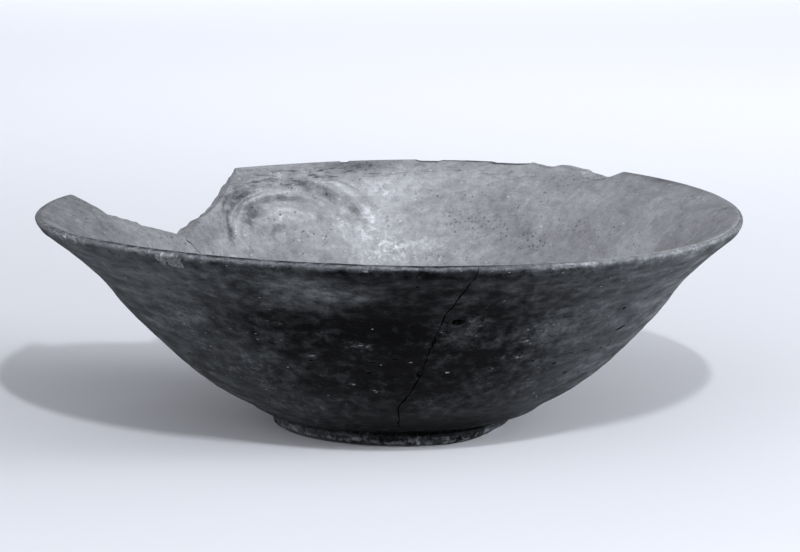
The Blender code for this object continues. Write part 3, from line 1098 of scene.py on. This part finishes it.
def painted(azimuth, along, patches):
    """The sum of soft patches: azimuth, distance along the section, their half widths, and the amount."""
    total = np.zeros_like(along)
    for middle, place, half_width, half_height, amount in patches:
        across = apart(azimuth, middle) / half_width
        up = (along - place * MM) / (half_height * MM)
        total += amount * np.exp(-(across**2) - up**2)
    return total


# Tones are 0 for black and 1 for white, as the eye sees them
GAMMA = 2.2
DARKEST_TONE = 0.03

# Patches of tone and wear, and a few of painted shade and a painted reflection, each marked where it stands:
# azimuth, distance along the section, the half widths in both, and the amount. The distance is in millimetres
# from the middle of the inside, over the lip at 120 to 132, to the foot at 227.
OUTSIDE_PATCHES = [
    # The pale haze at -101 degrees and 144 mm is partly paler clay and partly a painted reflection on the
    # burnish
    (-90, 175, 42, 200, -0.235), (-95, 138, 80, 14, 0.045), (-101, 144, 8, 7, 0.22),
    (-75, 214, 30, 9, -0.075), (-50, 165, 14, 30, 0.035), (-14, 150, 16, 34, 0.06),
    # The dark patch at -55 degrees and 220 mm, just above the foot, is painted shade over the foot's groove
    (-107, 136, 8, 5, 0.07), (-90, 206, 22, 10, 0.05), (-77, 202, 9, 7, 0.05), (-55, 220, 22, 8, -0.07),
    (-133, 150, 14, 18, 0.07), (-152, 200, 10, 12, 0.03), (-114, 160, 10, 6, -0.05),
    (-89, 165, 7, 22, -0.035), (-124, 149, 4, 3, -0.05), (-121, 146, 6, 5, 0.04),
    (-96, 168, 4, 2.5, 0.05), (-78, 167, 4, 7, 0.045), (-66, 157, 5, 5, -0.04), (-68, 174, 8, 4, -0.05),
    (-56, 160, 8, 8, 0.035), (-70, 159, 7, 5, 0.03), (-120, 176, 8, 7, 0.03), (-110, 200, 9, 5, 0.03),
    (-63, 186, 12, 10, -0.02),
]
INSIDE_PATCHES = [
    (93, 92, 9, 16, 0.09), (88, 112, 9, 14, 0.035), (72, 88, 10, 7, 0.04), (15, 92, 16, 12, 0.05),
    (54, 92, 9, 6, -0.05), (121, 111, 4.5, 10, -0.05), (117, 123, 7, 3.0, -0.04),
    (94.5, 124.5, 5, 3.4, -0.19), (106, 124.5, 18, 3.5, -0.05), (103, 120, 8, 5, -0.05),
    (117, 85, 9, 9, -0.03), (126, 99, 3, 6, 0.05), (172, 100, 34, 60, -0.12), (140, 96, 6, 30, -0.03),
    # The thin dark band at 36 degrees on the lip's top at the back right is painted shade where the lip
    # rounds away
    (36, 128.2, 15, 2.0, -0.12),
]
LIP_PATCHES = [
    (70, 128, 75, 60, -0.05), (-72, 130, 16, 60, -0.06), (-61, 130.5, 5, 1.5, 0.08),
    (-38, 130, 20, 60, 0.04), (-128, 130, 5, 60, 0.05), (-152, 128, 8, 60, 0.03),
]
FOOT_PATCHES = [
    (-140, 230, 20, 5, 0.13), (-158, 229, 12, 4, 0.08), (-74, 230.6, 9, 2.0, 0.11),
    # The dark band at 227.4 mm round the right front is painted shade in the groove under the body's overhang
    (-112, 230.5, 12, 2.5, 0.06), (-88, 230.6, 10, 2.5, -0.03), (-60, 227.4, 34, 2.0, -0.09),
    (-36, 229, 9, 3, 0.10),
]
FLECK_PATCHES = [
    (-124, 186.0, 9.0, 14.0, 0.45), (-134, 164.0, 8.0, 10.0, 0.25), (-116, 206.0, 12.0, 7.0, 0.4),
    (-60, 196.0, 9.0, 10.0, 0.25), (-95.9, 167.5, 2.6, 2.2, 1.0), (-100.3, 176.5, 1.8, 1.5, 0.7),
    (-94.4, 175.2, 2.6, 1.5, 0.6), (-107.0, 173.1, 1.2, 1.0, 1.0), (-86.7, 174.6, 1.2, 1.0, 0.8),
    (-74.3, 157.0, 2.2, 2.4, 0.9), (-77.1, 162.4, 2.6, 1.0, 0.9), (-74.7, 168.3, 2.6, 1.3, 0.8),
    (-78.0, 171.9, 2.6, 1.0, 0.7), (-102.2, 163.3, 3.5, 1.5, 0.5), (-100.0, 186.8, 1.2, 1.5, 0.9),
    (-94.7, 188.9, 1.3, 1.3, 0.9), (-104.2, 195.7, 2.8, 1.3, 0.8), (-92.2, 186.4, 2.0, 1.0, 0.5),
    (-106.5, 183.0, 1.5, 1.0, 0.6), (-68.5, 178.9, 2.2, 0.9, 0.7), (-65.8, 173.8, 2.6, 1.5, 0.8),
    (-62.9, 174.3, 1.5, 1.2, 1.0), (-63.0, 166.8, 2.6, 1.6, 0.8), (-113.7, 158.8, 2.2, 1.3, 0.7),
    (-110.9, 160.0, 1.6, 1.1, 0.7),
]
# The lip's dark line at the far left, where no raised edge is kept: dirt and painted soft shade under the
# lip's inner edge, in paint alone
LIP_LINE_DIRT_AND_SHADE_PATCHES = [(-154, 128, 13, 60, 0.5)]
PIT_PATCHES = [
    (75.2, 101.0, 3.6, 3.0, 1.0), (68.5, 98.0, 3.6, 5.0, 0.9), (55.4, 93.4, 4.2, 4.0, 1.2),
    (46.0, 101.0, 3.5, 3.0, 0.8), (96.0, 100.0, 12.0, 8.0, 0.3),
]
WHEEL_MARK_PATCHES = [
    (108, 121.0, 14, 5.0, 1.0), (72, 121.0, 24, 3.5, 0.35),
]
CHALK_PATCHES = [
    (95.3, 97, 2.6, 7, 1.0), (90.8, 88, 4.5, 5, 1.0), (98.5, 85.5, 4, 3.5, 0.6),
    (101.3, 100, 1.4, 3.5, 0.9), (84, 88, 8, 6, 0.6), (91.5, 112, 2.2, 4, 0.8),
    (-125.8, 131.6, 1.6, 2.5, 1.6), (-129.5, 129.8, 5.0, 1.0, 0.9), (-150.5, 130.6, 4.5, 1.8, 1.3),
    (-146.5, 131.2, 2.4, 1.4, 1.2), (-122.2, 130.2, 1.6, 0.9, 1.4), (-61, 130.5, 5.5, 1.2, 0.8),
    (-35, 130.5, 9, 1.5, 0.6), (-123.5, 134, 3.4, 2.8, 0.3),
]

# The patches of each painted attribute, which start from the setting of the same name, where there is one
PATCHES = {
    "outside_tone": OUTSIDE_PATCHES,
    "inside_tone": INSIDE_PATCHES,
    "lip_tone": LIP_PATCHES,
    "foot_tone": FOOT_PATCHES,
    "chalk": CHALK_PATCHES,
    "flecks": FLECK_PATCHES,
    "pitted": PIT_PATCHES,
    "wheel_marks": WHEEL_MARK_PATCHES,
}

# Where the finishes of the lip meet and its dark line of dirt and painted groove shade runs, from the lip's
# end along the section, where those of the foot and the underside begin, from the wall's and the foot's end,
# and where the foot's lower edge lies, from the middle of the inside
LIP_TURN = (-1.9 * MM, 0.2 * MM)
PALE_END = -4.3 * MM
LIP_LINE_DIRT_AND_SHADE = -3.1 * MM
FOOT_TURN = (-2.2 * MM, 0.6 * MM)
UNDER_TURN = 1.5 * MM
FOOT_EDGE = 230.8 * MM

# The wiped swirl on the back of the inside: its middle, how far it goes, the angle over which a stroke fades
# at its ends, and its strokes as radius, half width, the angles in degrees from and to which they run, from
# the left over the top, and the amount
SWIRL_AZIMUTH = 113.8
SWIRL_ALONG = 91.5 * MM
SWIRL_REACH = (28 * MM, 34 * MM)
STROKE_FADE = 9
SWIRL_STROKES = scaled((MM, MM, 1, 1, 1), [
    (25.4, 1.7, 6, 64, -0.13), (27.7, 0.9, 34, 114, -0.11), (23.9, 0.7, 26, 84, 0.05),
    (22.9, 1.0, 30, 78, -0.07), (25.6, 1.6, 60, 114, -0.06), (27.3, 2.7, 106, 160, -0.10),
    (31.0, 0.9, 110, 166, 0.06), (32.6, 0.7, 112, 150, -0.06), (18.6, 2.8, 20, 62, -0.10),
    (19.8, 1.5, 62, 114, -0.10), (21.8, 1.2, 44, 124, 0.05), (13.8, 1.6, 46, 138, 0.07),
    (10.8, 1.0, 55, 125, 0.06), (9.0, 1.4, 28, 80, -0.06), (16.0, 2.2, 128, 160, -0.05),
])


class BOWL_OT_finish_surface(bpy.types.Operator):
    """Smooths the shading, marks each point's place on the wall and puts on the finish"""

    bl_idname = "bowl.finish_surface"
    bl_label = "Finish the Surface"

    def execute(self, context):
        bowl = bpy.data.objects[PIECE]
        shape = context.scene.bowl_shape
        finish = context.scene.bowl_finish
        mesh = bowl.data
        points, run, ends = section(shape.wall_step, shape.lip_step)
        true = made_true(coordinates(mesh))
        along = run_of(true, points, run)
        azimuth = np.arctan2(true[:, 1], true[:, 0])
        degrees = np.degrees(azimuth)
        store(mesh, "along", along)
        store(mesh, "turned", laid_out(azimuth, along))
        for name, patches in PATCHES.items():
            store(mesh, name, getattr(finish, name, 0.0) + painted(degrees, along, patches))
        # The lip's dark line, of dirt and painted shade in its inner groove: where the raised edge is kept,
        # and at the far left
        store(mesh, "lip_line_dirt_and_shade", edge_kept(azimuth) + painted(degrees, along, LIP_LINE_DIRT_AND_SHADE_PATCHES))
        store(mesh, "pale_lip", self.pale_lip(degrees))
        take(bowl)
        bpy.ops.object.shade_smooth_by_angle(angle=math.radians(40))
        fired_clay(finish, ends)
        bare_clay("broken_clay", finish.broken_tone, 0.40, finish)
        bare_clay("rubbed_clay", finish.rubbed_tone, 0.18, finish)
        dust("dirt", finish.dirt_tone, finish)
        dust("pit_dust", finish.pit_tone, finish)
        dust("pale_grit", finish.grit_tone, finish)
        mesh.materials[0] = material("fired_clay")
        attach(bowl, "root")
        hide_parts(NODE)
        return {"FINISHED"}

    def pale_lip(self, degrees):
        """Whether the pale finish of the inside goes on over the lip: not at the front and the front left."""
        back = eased((130 - np.abs(apart(degrees, 90))) / 22)
        return np.maximum(back, eased((degrees + 68) / 16))


def coloured(nodes, tone, finish):
    """The clay's colour at a tone, which is cooler where it is darker."""
    tone = nodes.maths("MAXIMUM", tone, DARKEST_TONE)
    light = nodes.maths("POWER", tone, GAMMA)
    tint = nodes.blend(nodes.span(tone, 0.15, 0.55), finish.dark_tint, finish.pale_tint)
    return nodes.node("VectorMath", {0: tint, "Scale": light}, operation="SCALE").outputs[0]


def at_the_sides(nodes, turned):
    """1 at the far left and right of the bowl, and 0 at its front and back."""
    sideways = nodes.maths("ABSOLUTE", nodes.node("SeparateXYZ", {0: turned}).outputs["X"])
    return nodes.span(sideways, 0.40 * TURNED_RADIUS, 0.92 * TURNED_RADIUS)


def rubbed_round(nodes, turned, size, lengthening):
    """Noise that is drawn out round the bowl, most of all at its sides."""
    front = nodes.noise(nodes.placed(turned, (1, 1, lengthening)), size, 3.0, 0.60, 0.15)
    side = nodes.noise(nodes.placed(turned, (0.45, 0.45, lengthening)), size, 3.0, 0.60, 0.15)
    return nodes.between(at_the_sides(nodes, turned), front, side)


def outside_tone(nodes, turned, place):
    """Burnished dark clay: rubbed mottling that runs round the bowl, pale flecks and fine grain."""
    clouds = rubbed_round(nodes, turned, 9 * MM, 1.4)
    mottle = rubbed_round(nodes, turned, 3.6 * MM, 1.2)
    strokes = nodes.noise(turned, 4.6 * MM, 2.0, 0.55, scale=(1, 1, 3.0))
    grain = nodes.noise(place, 0.65 * MM, 2.0, 0.6)
    tone = nodes.attribute("outside_tone")
    tone = nodes.uneven(tone, (clouds, 0.28), (mottle, 0.40), (strokes, 0.04), (grain, 0.11))
    where = nodes.span(nodes.noise(turned, 8.5 * MM, 2.0, scale=(1, 1, 1.3)), 0.46, 0.62)
    flecks = nodes.span(nodes.noise(place, 1.5 * MM, 2.0, 0.6, scale=(1, 1, 1.7)), 0.62, 0.72)
    crumbs = nodes.span(nodes.noise(place, 1.4 * MM, 3.0, 0.6, 0.4, scale=(1, 1, 1.4)), 0.44, 0.62)
    scars = nodes.span(nodes.noise(turned, 1.8 * MM, 3.0, 0.6, scale=(1, 1, 1.6)), 0.40, 0.30)
    return nodes.total(
        (tone, 1.0),
        (nodes.product(flecks, where), 0.12),
        (nodes.product(crumbs, nodes.attribute("flecks")), 0.20),
        (scars, -0.07),
    )


def inside_tone(nodes, turned, place):
    """Pale, chalky inside with pits, grits, faint wheel marks and a wiped swirl."""
    clouds = nodes.noise(place, 15 * MM, 5.0, 0.6, 0.5)
    mottle = nodes.noise(place, 3.2 * MM, 4.0, 0.65, 0.3)
    grain = nodes.noise(place, 0.7 * MM, 2.0, 0.6)
    streaks = nodes.noise(turned, 12 * MM, 2.0, 0.5, scale=(1, 1, 9.0))
    calm = nodes.total((at_the_sides(nodes, turned), -0.3), (1.0, 1.0))
    tone = nodes.total(
        (nodes.attribute("inside_tone"), 1.0),
        (nodes.centred(clouds), 0.26),
        (nodes.product(nodes.centred(mottle), calm), 0.29),
        (nodes.centred(grain), 0.14),
        (nodes.centred(streaks), 0.05),
        (swirl(nodes, turned), 1.0),
        (wheel_marks(nodes, turned), 1.0),
    )
    pits = nodes.specks(place, 1.9 * MM, 0.15, 0.66)
    small_pits = nodes.specks(nodes.placed(place, shift=(0.1, 0.4, 0.1)), 1.2 * MM, 0.16, 0.80)
    grits = nodes.specks(nodes.placed(place, shift=(0.3, 0.1, 0.2)), 2.6 * MM, 0.13, 0.80)
    gathered = nodes.span(nodes.noise(place, 11 * MM, 2.0, 0.5), 0.44, 0.60, 0.20, 1.0)
    pitted = nodes.product(nodes.total((pits, -0.16), (small_pits, -0.14)), gathered)
    clustered = nodes.specks(nodes.placed(place, shift=(0.2, 0.2, 0.5)), 1.3 * MM, 0.24, 0.35)
    clustered = nodes.product(clustered, nodes.attribute("pitted"))
    pitted = nodes.total((pitted, 1.0), (clustered, -0.16))
    return nodes.total((tone, 1.0), (pitted, 1.0), (grits, 0.10))


def swirl(nodes, turned):
    """Uneven strokes round a point on the wall, where a cloth has wiped the deposit."""
    shift = (-TURNED_RADIUS, 0, -SWIRL_ALONG)
    centred = nodes.placed(turned, shift=shift, turn=(0, 0, -math.radians(SWIRL_AZIMUTH)))
    parts = nodes.node("SeparateXYZ", {0: centred}).outputs
    left, up = parts["Y"], parts["Z"]
    angle = nodes.maths("ARCTAN2", up, left)
    squares = nodes.total((nodes.product(left, left), 1.0), (nodes.product(up, up), 1.0))
    away = nodes.maths("SQRT", squares)
    across = nodes.product(away, 1 / (1.8 * MM))
    ring = nodes.node("CombineXYZ", {"X": across, "Y": nodes.product(angle, 3.0)}).outputs[0]
    fine = nodes.noise(ring, 1.0, 4.0, 0.6, 0.5)
    broad = nodes.noise(ring, 1.0, 3.0, 0.55, 0.6, scale=(0.35, 0.8, 1))
    wavy = nodes.total((away, 1.0), (nodes.centred(broad), 5.5 * MM))
    patchy = nodes.span(nodes.noise(turned, 4.5 * MM, 3.0, 0.6), 0.36, 0.56, 0.35, 1.15)
    tone = 0.0
    for radius, half_width, start, end, amount in SWIRL_STROKES:
        start_fade, end_fade = (np.radians((edge - STROKE_FADE, edge + STROKE_FADE)) for edge in (start, end))
        begun = nodes.span(angle, *start_fade)
        ended = nodes.span(angle, *end_fade, 1.0, 0.0)
        run = nodes.product(begun, ended)
        stroke = nodes.product(nodes.ridge(wavy, radius, half_width * 1.4), run)
        tone = nodes.total((tone, 1.0), (stroke, amount))
    outer = nodes.ridge(away, 24 * MM, 13 * MM)
    texture = nodes.product(nodes.centred(fine), nodes.total((outer, 0.22), (0.06, 1.0)))
    within = nodes.span(away, *SWIRL_REACH, 1.0, 0.0)
    this_side = nodes.span(parts["X"], -TURNED_RADIUS, -0.6 * TURNED_RADIUS)
    tone = nodes.total(
        (nodes.product(tone, patchy), 1.2),
        (nodes.product(texture, within), 0.75),
    )
    return nodes.product(tone, this_side)


def wheel_marks(nodes, turned):
    """Broken dark lines left by the potter's fingers, just below the lip."""
    here = nodes.attribute("wheel_marks")
    lines = nodes.noise(turned, 5.5 * MM, 2.0, 0.55, 0.3, scale=(1, 1, 5.0))
    return nodes.product(nodes.span(lines, 0.54, 0.66), nodes.product(here, -0.24))


def lip_tone(nodes, turned, place):
    """The rubbed lip: mottled, with pale grains and dark remains of the burnish."""
    mottle = nodes.noise(turned, 3.0 * MM, 4.0, 0.65, 0.4, scale=(1, 1, 2.5))
    grain = nodes.noise(place, 0.8 * MM, 2.0, 0.6)
    grains = nodes.span(nodes.noise(place, 1.3 * MM, 2.0, 0.6), 0.60, 0.70)
    tone = nodes.uneven(nodes.attribute("lip_tone"), (mottle, 0.36), (grain, 0.26))
    return nodes.total((tone, 1.0), (grains, 0.10))


def foot_tone(nodes, turned, place):
    """The foot: darker in its groove, where shade is painted, and rubbed pale on its lower edge."""
    worn = nodes.noise(place, 2.5 * MM, 3.0, 0.60, 0.3, scale=(1, 1, 1.2))
    grain = nodes.noise(place, 0.8 * MM, 2.0, 0.6)
    edge = nodes.ridge(nodes.attribute("along"), FOOT_EDGE, 2.6 * MM)
    return nodes.total(
        (nodes.attribute("foot_tone"), 1.0),
        (nodes.product(edge, nodes.span(worn, 0.44, 0.60)), 0.15),
        (nodes.centred(worn), 0.40),
        (nodes.centred(grain), 0.24),
    )


def fired_clay(finish, ends):
    """The whole skin of the bowl, from the inside over the lip and down the outside to the foot."""
    nodes = Nodes("fired_clay")
    place = nodes.node("TexCoord").outputs["Object"]
    turned = nodes.attribute("turned", "Vector")
    along = nodes.attribute("along")
    ragged = nodes.noise(turned, 3.0 * MM, 3.0, 0.6, scale=(1, 1, 0.6))
    wavering = nodes.total((along, 1.0), (nodes.centred(ragged), 2.6 * MM))
    over = nodes.span(wavering, *(ends["lip"] + turn for turn in LIP_TURN))
    pale = nodes.total((nodes.attribute("pale_lip"), 1.6 * MM), (ends["lip"] + PALE_END, 1.0))
    beyond = nodes.maths("SUBTRACT", nodes.total((along, 0.6), (wavering, 0.4)), pale)
    within = nodes.span(beyond, 0.0, 0.6 * MM, 1.0, 0.0)
    down = nodes.span(along, *(ends["outside"] + turn for turn in FOOT_TURN))
    below = nodes.span(along, ends["foot"], ends["foot"] + UNDER_TURN)
    lip, outside = lip_tone(nodes, turned, place), outside_tone(nodes, turned, place)
    tone = nodes.between(over, lip, outside)
    tone = nodes.between(within, tone, inside_tone(nodes, turned, place))
    tone = nodes.between(down, tone, foot_tone(nodes, turned, place))
    dusty = nodes.uneven(finish.under_tone, (nodes.noise(place, 6 * MM, 5.0, 0.65), 0.4))
    tone = nodes.between(below, tone, dusty)
    crumbs = nodes.span(nodes.noise(place, 2.6 * MM, 4.0, 0.62, 0.6), 0.46, 0.62)
    crust = nodes.product(nodes.attribute("chalk"), crumbs)
    tone = nodes.total((tone, 1.0), (crust, 0.17))
    # The dark line inside the lip: dirt and painted shade of its groove, wider than the groove itself and
    # broken up by noise
    wandering = nodes.total((along, 0.7), (wavering, 0.3))
    broken_line = nodes.span(nodes.noise(turned, 3.4 * MM, 3.0, 0.6), 0.38, 0.58)
    groove = nodes.product(nodes.ridge(wandering, ends["lip"] + LIP_LINE_DIRT_AND_SHADE, 1.6 * MM), broken_line)
    tone = nodes.total((tone, 1.0), (nodes.product(groove, nodes.attribute("lip_line_dirt_and_shade")), -0.25))
    rough = nodes.noise(place, 0.9 * MM, 4.0, 0.7)
    rubbed = nodes.noise(turned, 3.0 * MM, 3.0, 0.6, scale=(1, 1, 2.4))
    height = nodes.total((rough, 1.0), (rubbed, 0.35), (crust, 1.2))
    dull = nodes.span(tone, 0.1, 0.4, finish.burnish_roughness, 0.9)
    nodes.shade(coloured(nodes, tone, finish), dull, finish.specular, nodes.bump(height, 0.09 * MM))


def bare_clay(name, tone, mottling, finish):
    """Coarse bare clay with grits, on the fractures and in the chips."""
    nodes = Nodes(name)
    place = nodes.node("TexCoord").outputs["Object"]
    mottle = nodes.noise(place, 2.4 * MM, 4.0, 0.65, 0.4)
    grain = nodes.noise(place, 0.7 * MM, 3.0, 0.65)
    tone = nodes.uneven(tone, (mottle, mottling), (grain, 0.34))
    tone = nodes.total((tone, 1.0), (nodes.specks(place, 1.8 * MM, 0.17, 0.7), 0.12))
    height = nodes.total((mottle, 1.5), (grain, 1.0))
    nodes.shade(coloured(nodes, tone, finish), 0.95, 0.1, nodes.bump(height, 0.25 * MM))


def dust(name, tone, finish):
    """Loose dirt or dust in the join and the pits, and the bare grits."""
    nodes = Nodes(name)
    place = nodes.node("TexCoord").outputs["Object"]
    tone = nodes.uneven(tone, (nodes.noise(place, 1.1 * MM, 3.0), 0.4))
    nodes.shade(coloured(nodes, tone, finish), 1.0, 0.0)


# The stage

CAMERA_TARGET = Vector((3.87, 0, 46.41)) * MM
CAMERA_DISTANCE = 1.0
CAMERA_ELEVATION = math.radians(9.87)

# The lamps: place, aim, width and height in millimetres, then power and spread in degrees
LAMPS = {
    "key_lamp": ((115, -834, 690), (0, 0, 40), (29, 72), 5.85, 180),
    "side_lamp": ((1300, -300, 300), (0, 0, 50), (500, 500), 17.9, 180),
    "side_top_lamp": ((1600, 0, 900), (0, 0, 50), (800, 800), 4.35, 180),
    "backdrop_lamp": ((150, 850, 1300), (150, 750, 0), (1200, 500), 1.14, 60),
    "backdrop_top_lamp": ((0, 2200, 1800), (0, 1900, 0), (2000, 500), 11.4, 90),
}

# How brightly the room shines from the horizon all round, and more from each of these directions, and how
# bright the paper is that the camera sees behind the floor
HORIZON_GLOW = 1.30
ROOM_GLOWS = [((0, -1, 0), 1.445), ((-1, 0, 0), 0.38)]
PAPER_GLOW = 0.9


class BOWL_OT_set_stage(bpy.types.Operator):
    """Sets the floor, the lamps and the camera"""

    bl_idname = "bowl.set_stage"
    bl_label = "Set the Stage"

    def execute(self, context):
        stage = context.scene.bowl_stage
        self.floor(stage)
        for name, values in LAMPS.items():
            self.lamp(stage, name, *values)
        self.room(context.scene, stage)
        self.camera(context.scene, stage)
        return {"FINISHED"}

    def floor(self, stage):
        deselect_all()
        bpy.ops.mesh.primitive_circle_add(vertices=128, radius=stage.floor_radius, fill_type="NGON")
        floor = bpy.context.object
        floor.name = "studio_floor"
        nodes = Nodes("floor_paper")
        nodes.shade((*stage.floor_tone, 1), roughness=0.9, specular=0.0)
        floor.data.materials.append(nodes.made)

    def lamp(self, stage, name, place, aim, size, power, spread):
        place, aim = Vector(place) * MM, Vector(aim) * MM
        turn = (aim - place).to_track_quat("-Z", "Y").to_euler()
        bpy.ops.object.light_add(type="AREA", location=place, rotation=turn)
        lamp = bpy.context.object
        lamp.name = name
        lamp.data.shape = "RECTANGLE"
        lamp.data.size = size[0] * MM
        lamp.data.size_y = size[1] * MM
        lamp.data.energy = power * stage.lamp_power
        lamp.data.color = stage.light_tint
        lamp.data.spread = math.radians(spread)
        lamp.visible_camera = False

    def room(self, scene, stage):
        """An even room, brighter at the horizon and from the front and the left."""
        world = bpy.data.worlds.new("room")
        world.use_nodes = True
        nodes = Nodes(tree=world.node_tree)
        way = nodes.node("TexCoord").outputs["Generated"]
        height = nodes.node("SeparateXYZ", {0: way}).outputs["Z"]
        low = nodes.maths("SUBTRACT", 1.0, nodes.maths("ABSOLUTE", height))
        glow = nodes.product(nodes.maths("POWER", low, 4.0), HORIZON_GLOW)
        for direction, strength in ROOM_GLOWS:
            facing = nodes.node("VectorMath", {0: way, 1: direction}, operation="DOT_PRODUCT")
            share = nodes.product(nodes.maths("MAXIMUM", facing.outputs["Value"], 0.0), strength)
            glow = nodes.maths("ADD", glow, share)
        light = nodes.node("Background", {"Color": (*stage.light_tint, 1), "Strength": glow})
        paper = nodes.node("Background", {"Color": (*stage.light_tint, 1), "Strength": PAPER_GLOW})
        seen = nodes.node("LightPath").outputs["Is Camera Ray"]
        mixed = nodes.node("MixShader", {0: seen, 1: light.outputs[0], 2: paper.outputs[0]})
        nodes.node("OutputWorld", {"Surface": mixed.outputs[0]})
        scene.world = world
        scene.view_settings.view_transform = "Standard"

    def camera(self, scene, stage):
        back = Vector((0, -math.cos(CAMERA_ELEVATION), math.sin(CAMERA_ELEVATION)))
        place = CAMERA_TARGET + back * CAMERA_DISTANCE
        bpy.ops.object.camera_add(location=place, rotation=(-back).to_track_quat("-Z", "Y").to_euler())
        camera = bpy.context.object
        camera.data.lens = stage.lens
        camera.data.sensor_width = 36.0
        scene.camera = camera


class BOWL_PT_sidebar(bpy.types.Panel):
    """Lists the steps of the bowl in the 3D view's sidebar"""

    bl_idname = "BOWL_PT_sidebar"
    bl_label = "Footed Bowl"
    bl_space_type = "VIEW_3D"
    bl_region_type = "UI"
    bl_category = "Bowl"

    def draw(self, context):
        for group in (getattr(context.scene, name) for name in SETTINGS):
            box = self.layout.box()
            for name in group.__annotations__:
                box.prop(group, name)
        for operator in OPERATORS:
            self.layout.operator(operator.bl_idname)


SETTINGS = {
    "bowl_shape": BowlShapeSettings,
    "bowl_finish": BowlFinishSettings,
    "bowl_stage": BowlStageSettings,
}
OPERATORS = (
    BOWL_OT_throw_body,
    BOWL_OT_break_rim,
    BOWL_OT_chip_rim,
    BOWL_OT_open_join,
    BOWL_OT_pit_surface,
    BOWL_OT_finish_surface,
    BOWL_OT_set_stage,
)


def register():
    for item in (*SETTINGS.values(), *OPERATORS, BOWL_PT_sidebar):
        bpy.utils.register_class(item)
    for name, group in SETTINGS.items():
        setattr(bpy.types.Scene, name, PointerProperty(type=group))


def unregister():
    for name in SETTINGS:
        delattr(bpy.types.Scene, name)
    for item in reversed((*SETTINGS.values(), *OPERATORS, BOWL_PT_sidebar)):
        bpy.utils.unregister_class(item)


def main():
    register()
    bpy.ops.bowl.throw_body()
    bpy.ops.bowl.break_rim()
    bpy.ops.bowl.chip_rim()
    bpy.ops.bowl.open_join()
    bpy.ops.bowl.pit_surface()
    bpy.ops.bowl.finish_surface()
    bpy.ops.bowl.set_stage()


if __name__ == "__main__":
    main()
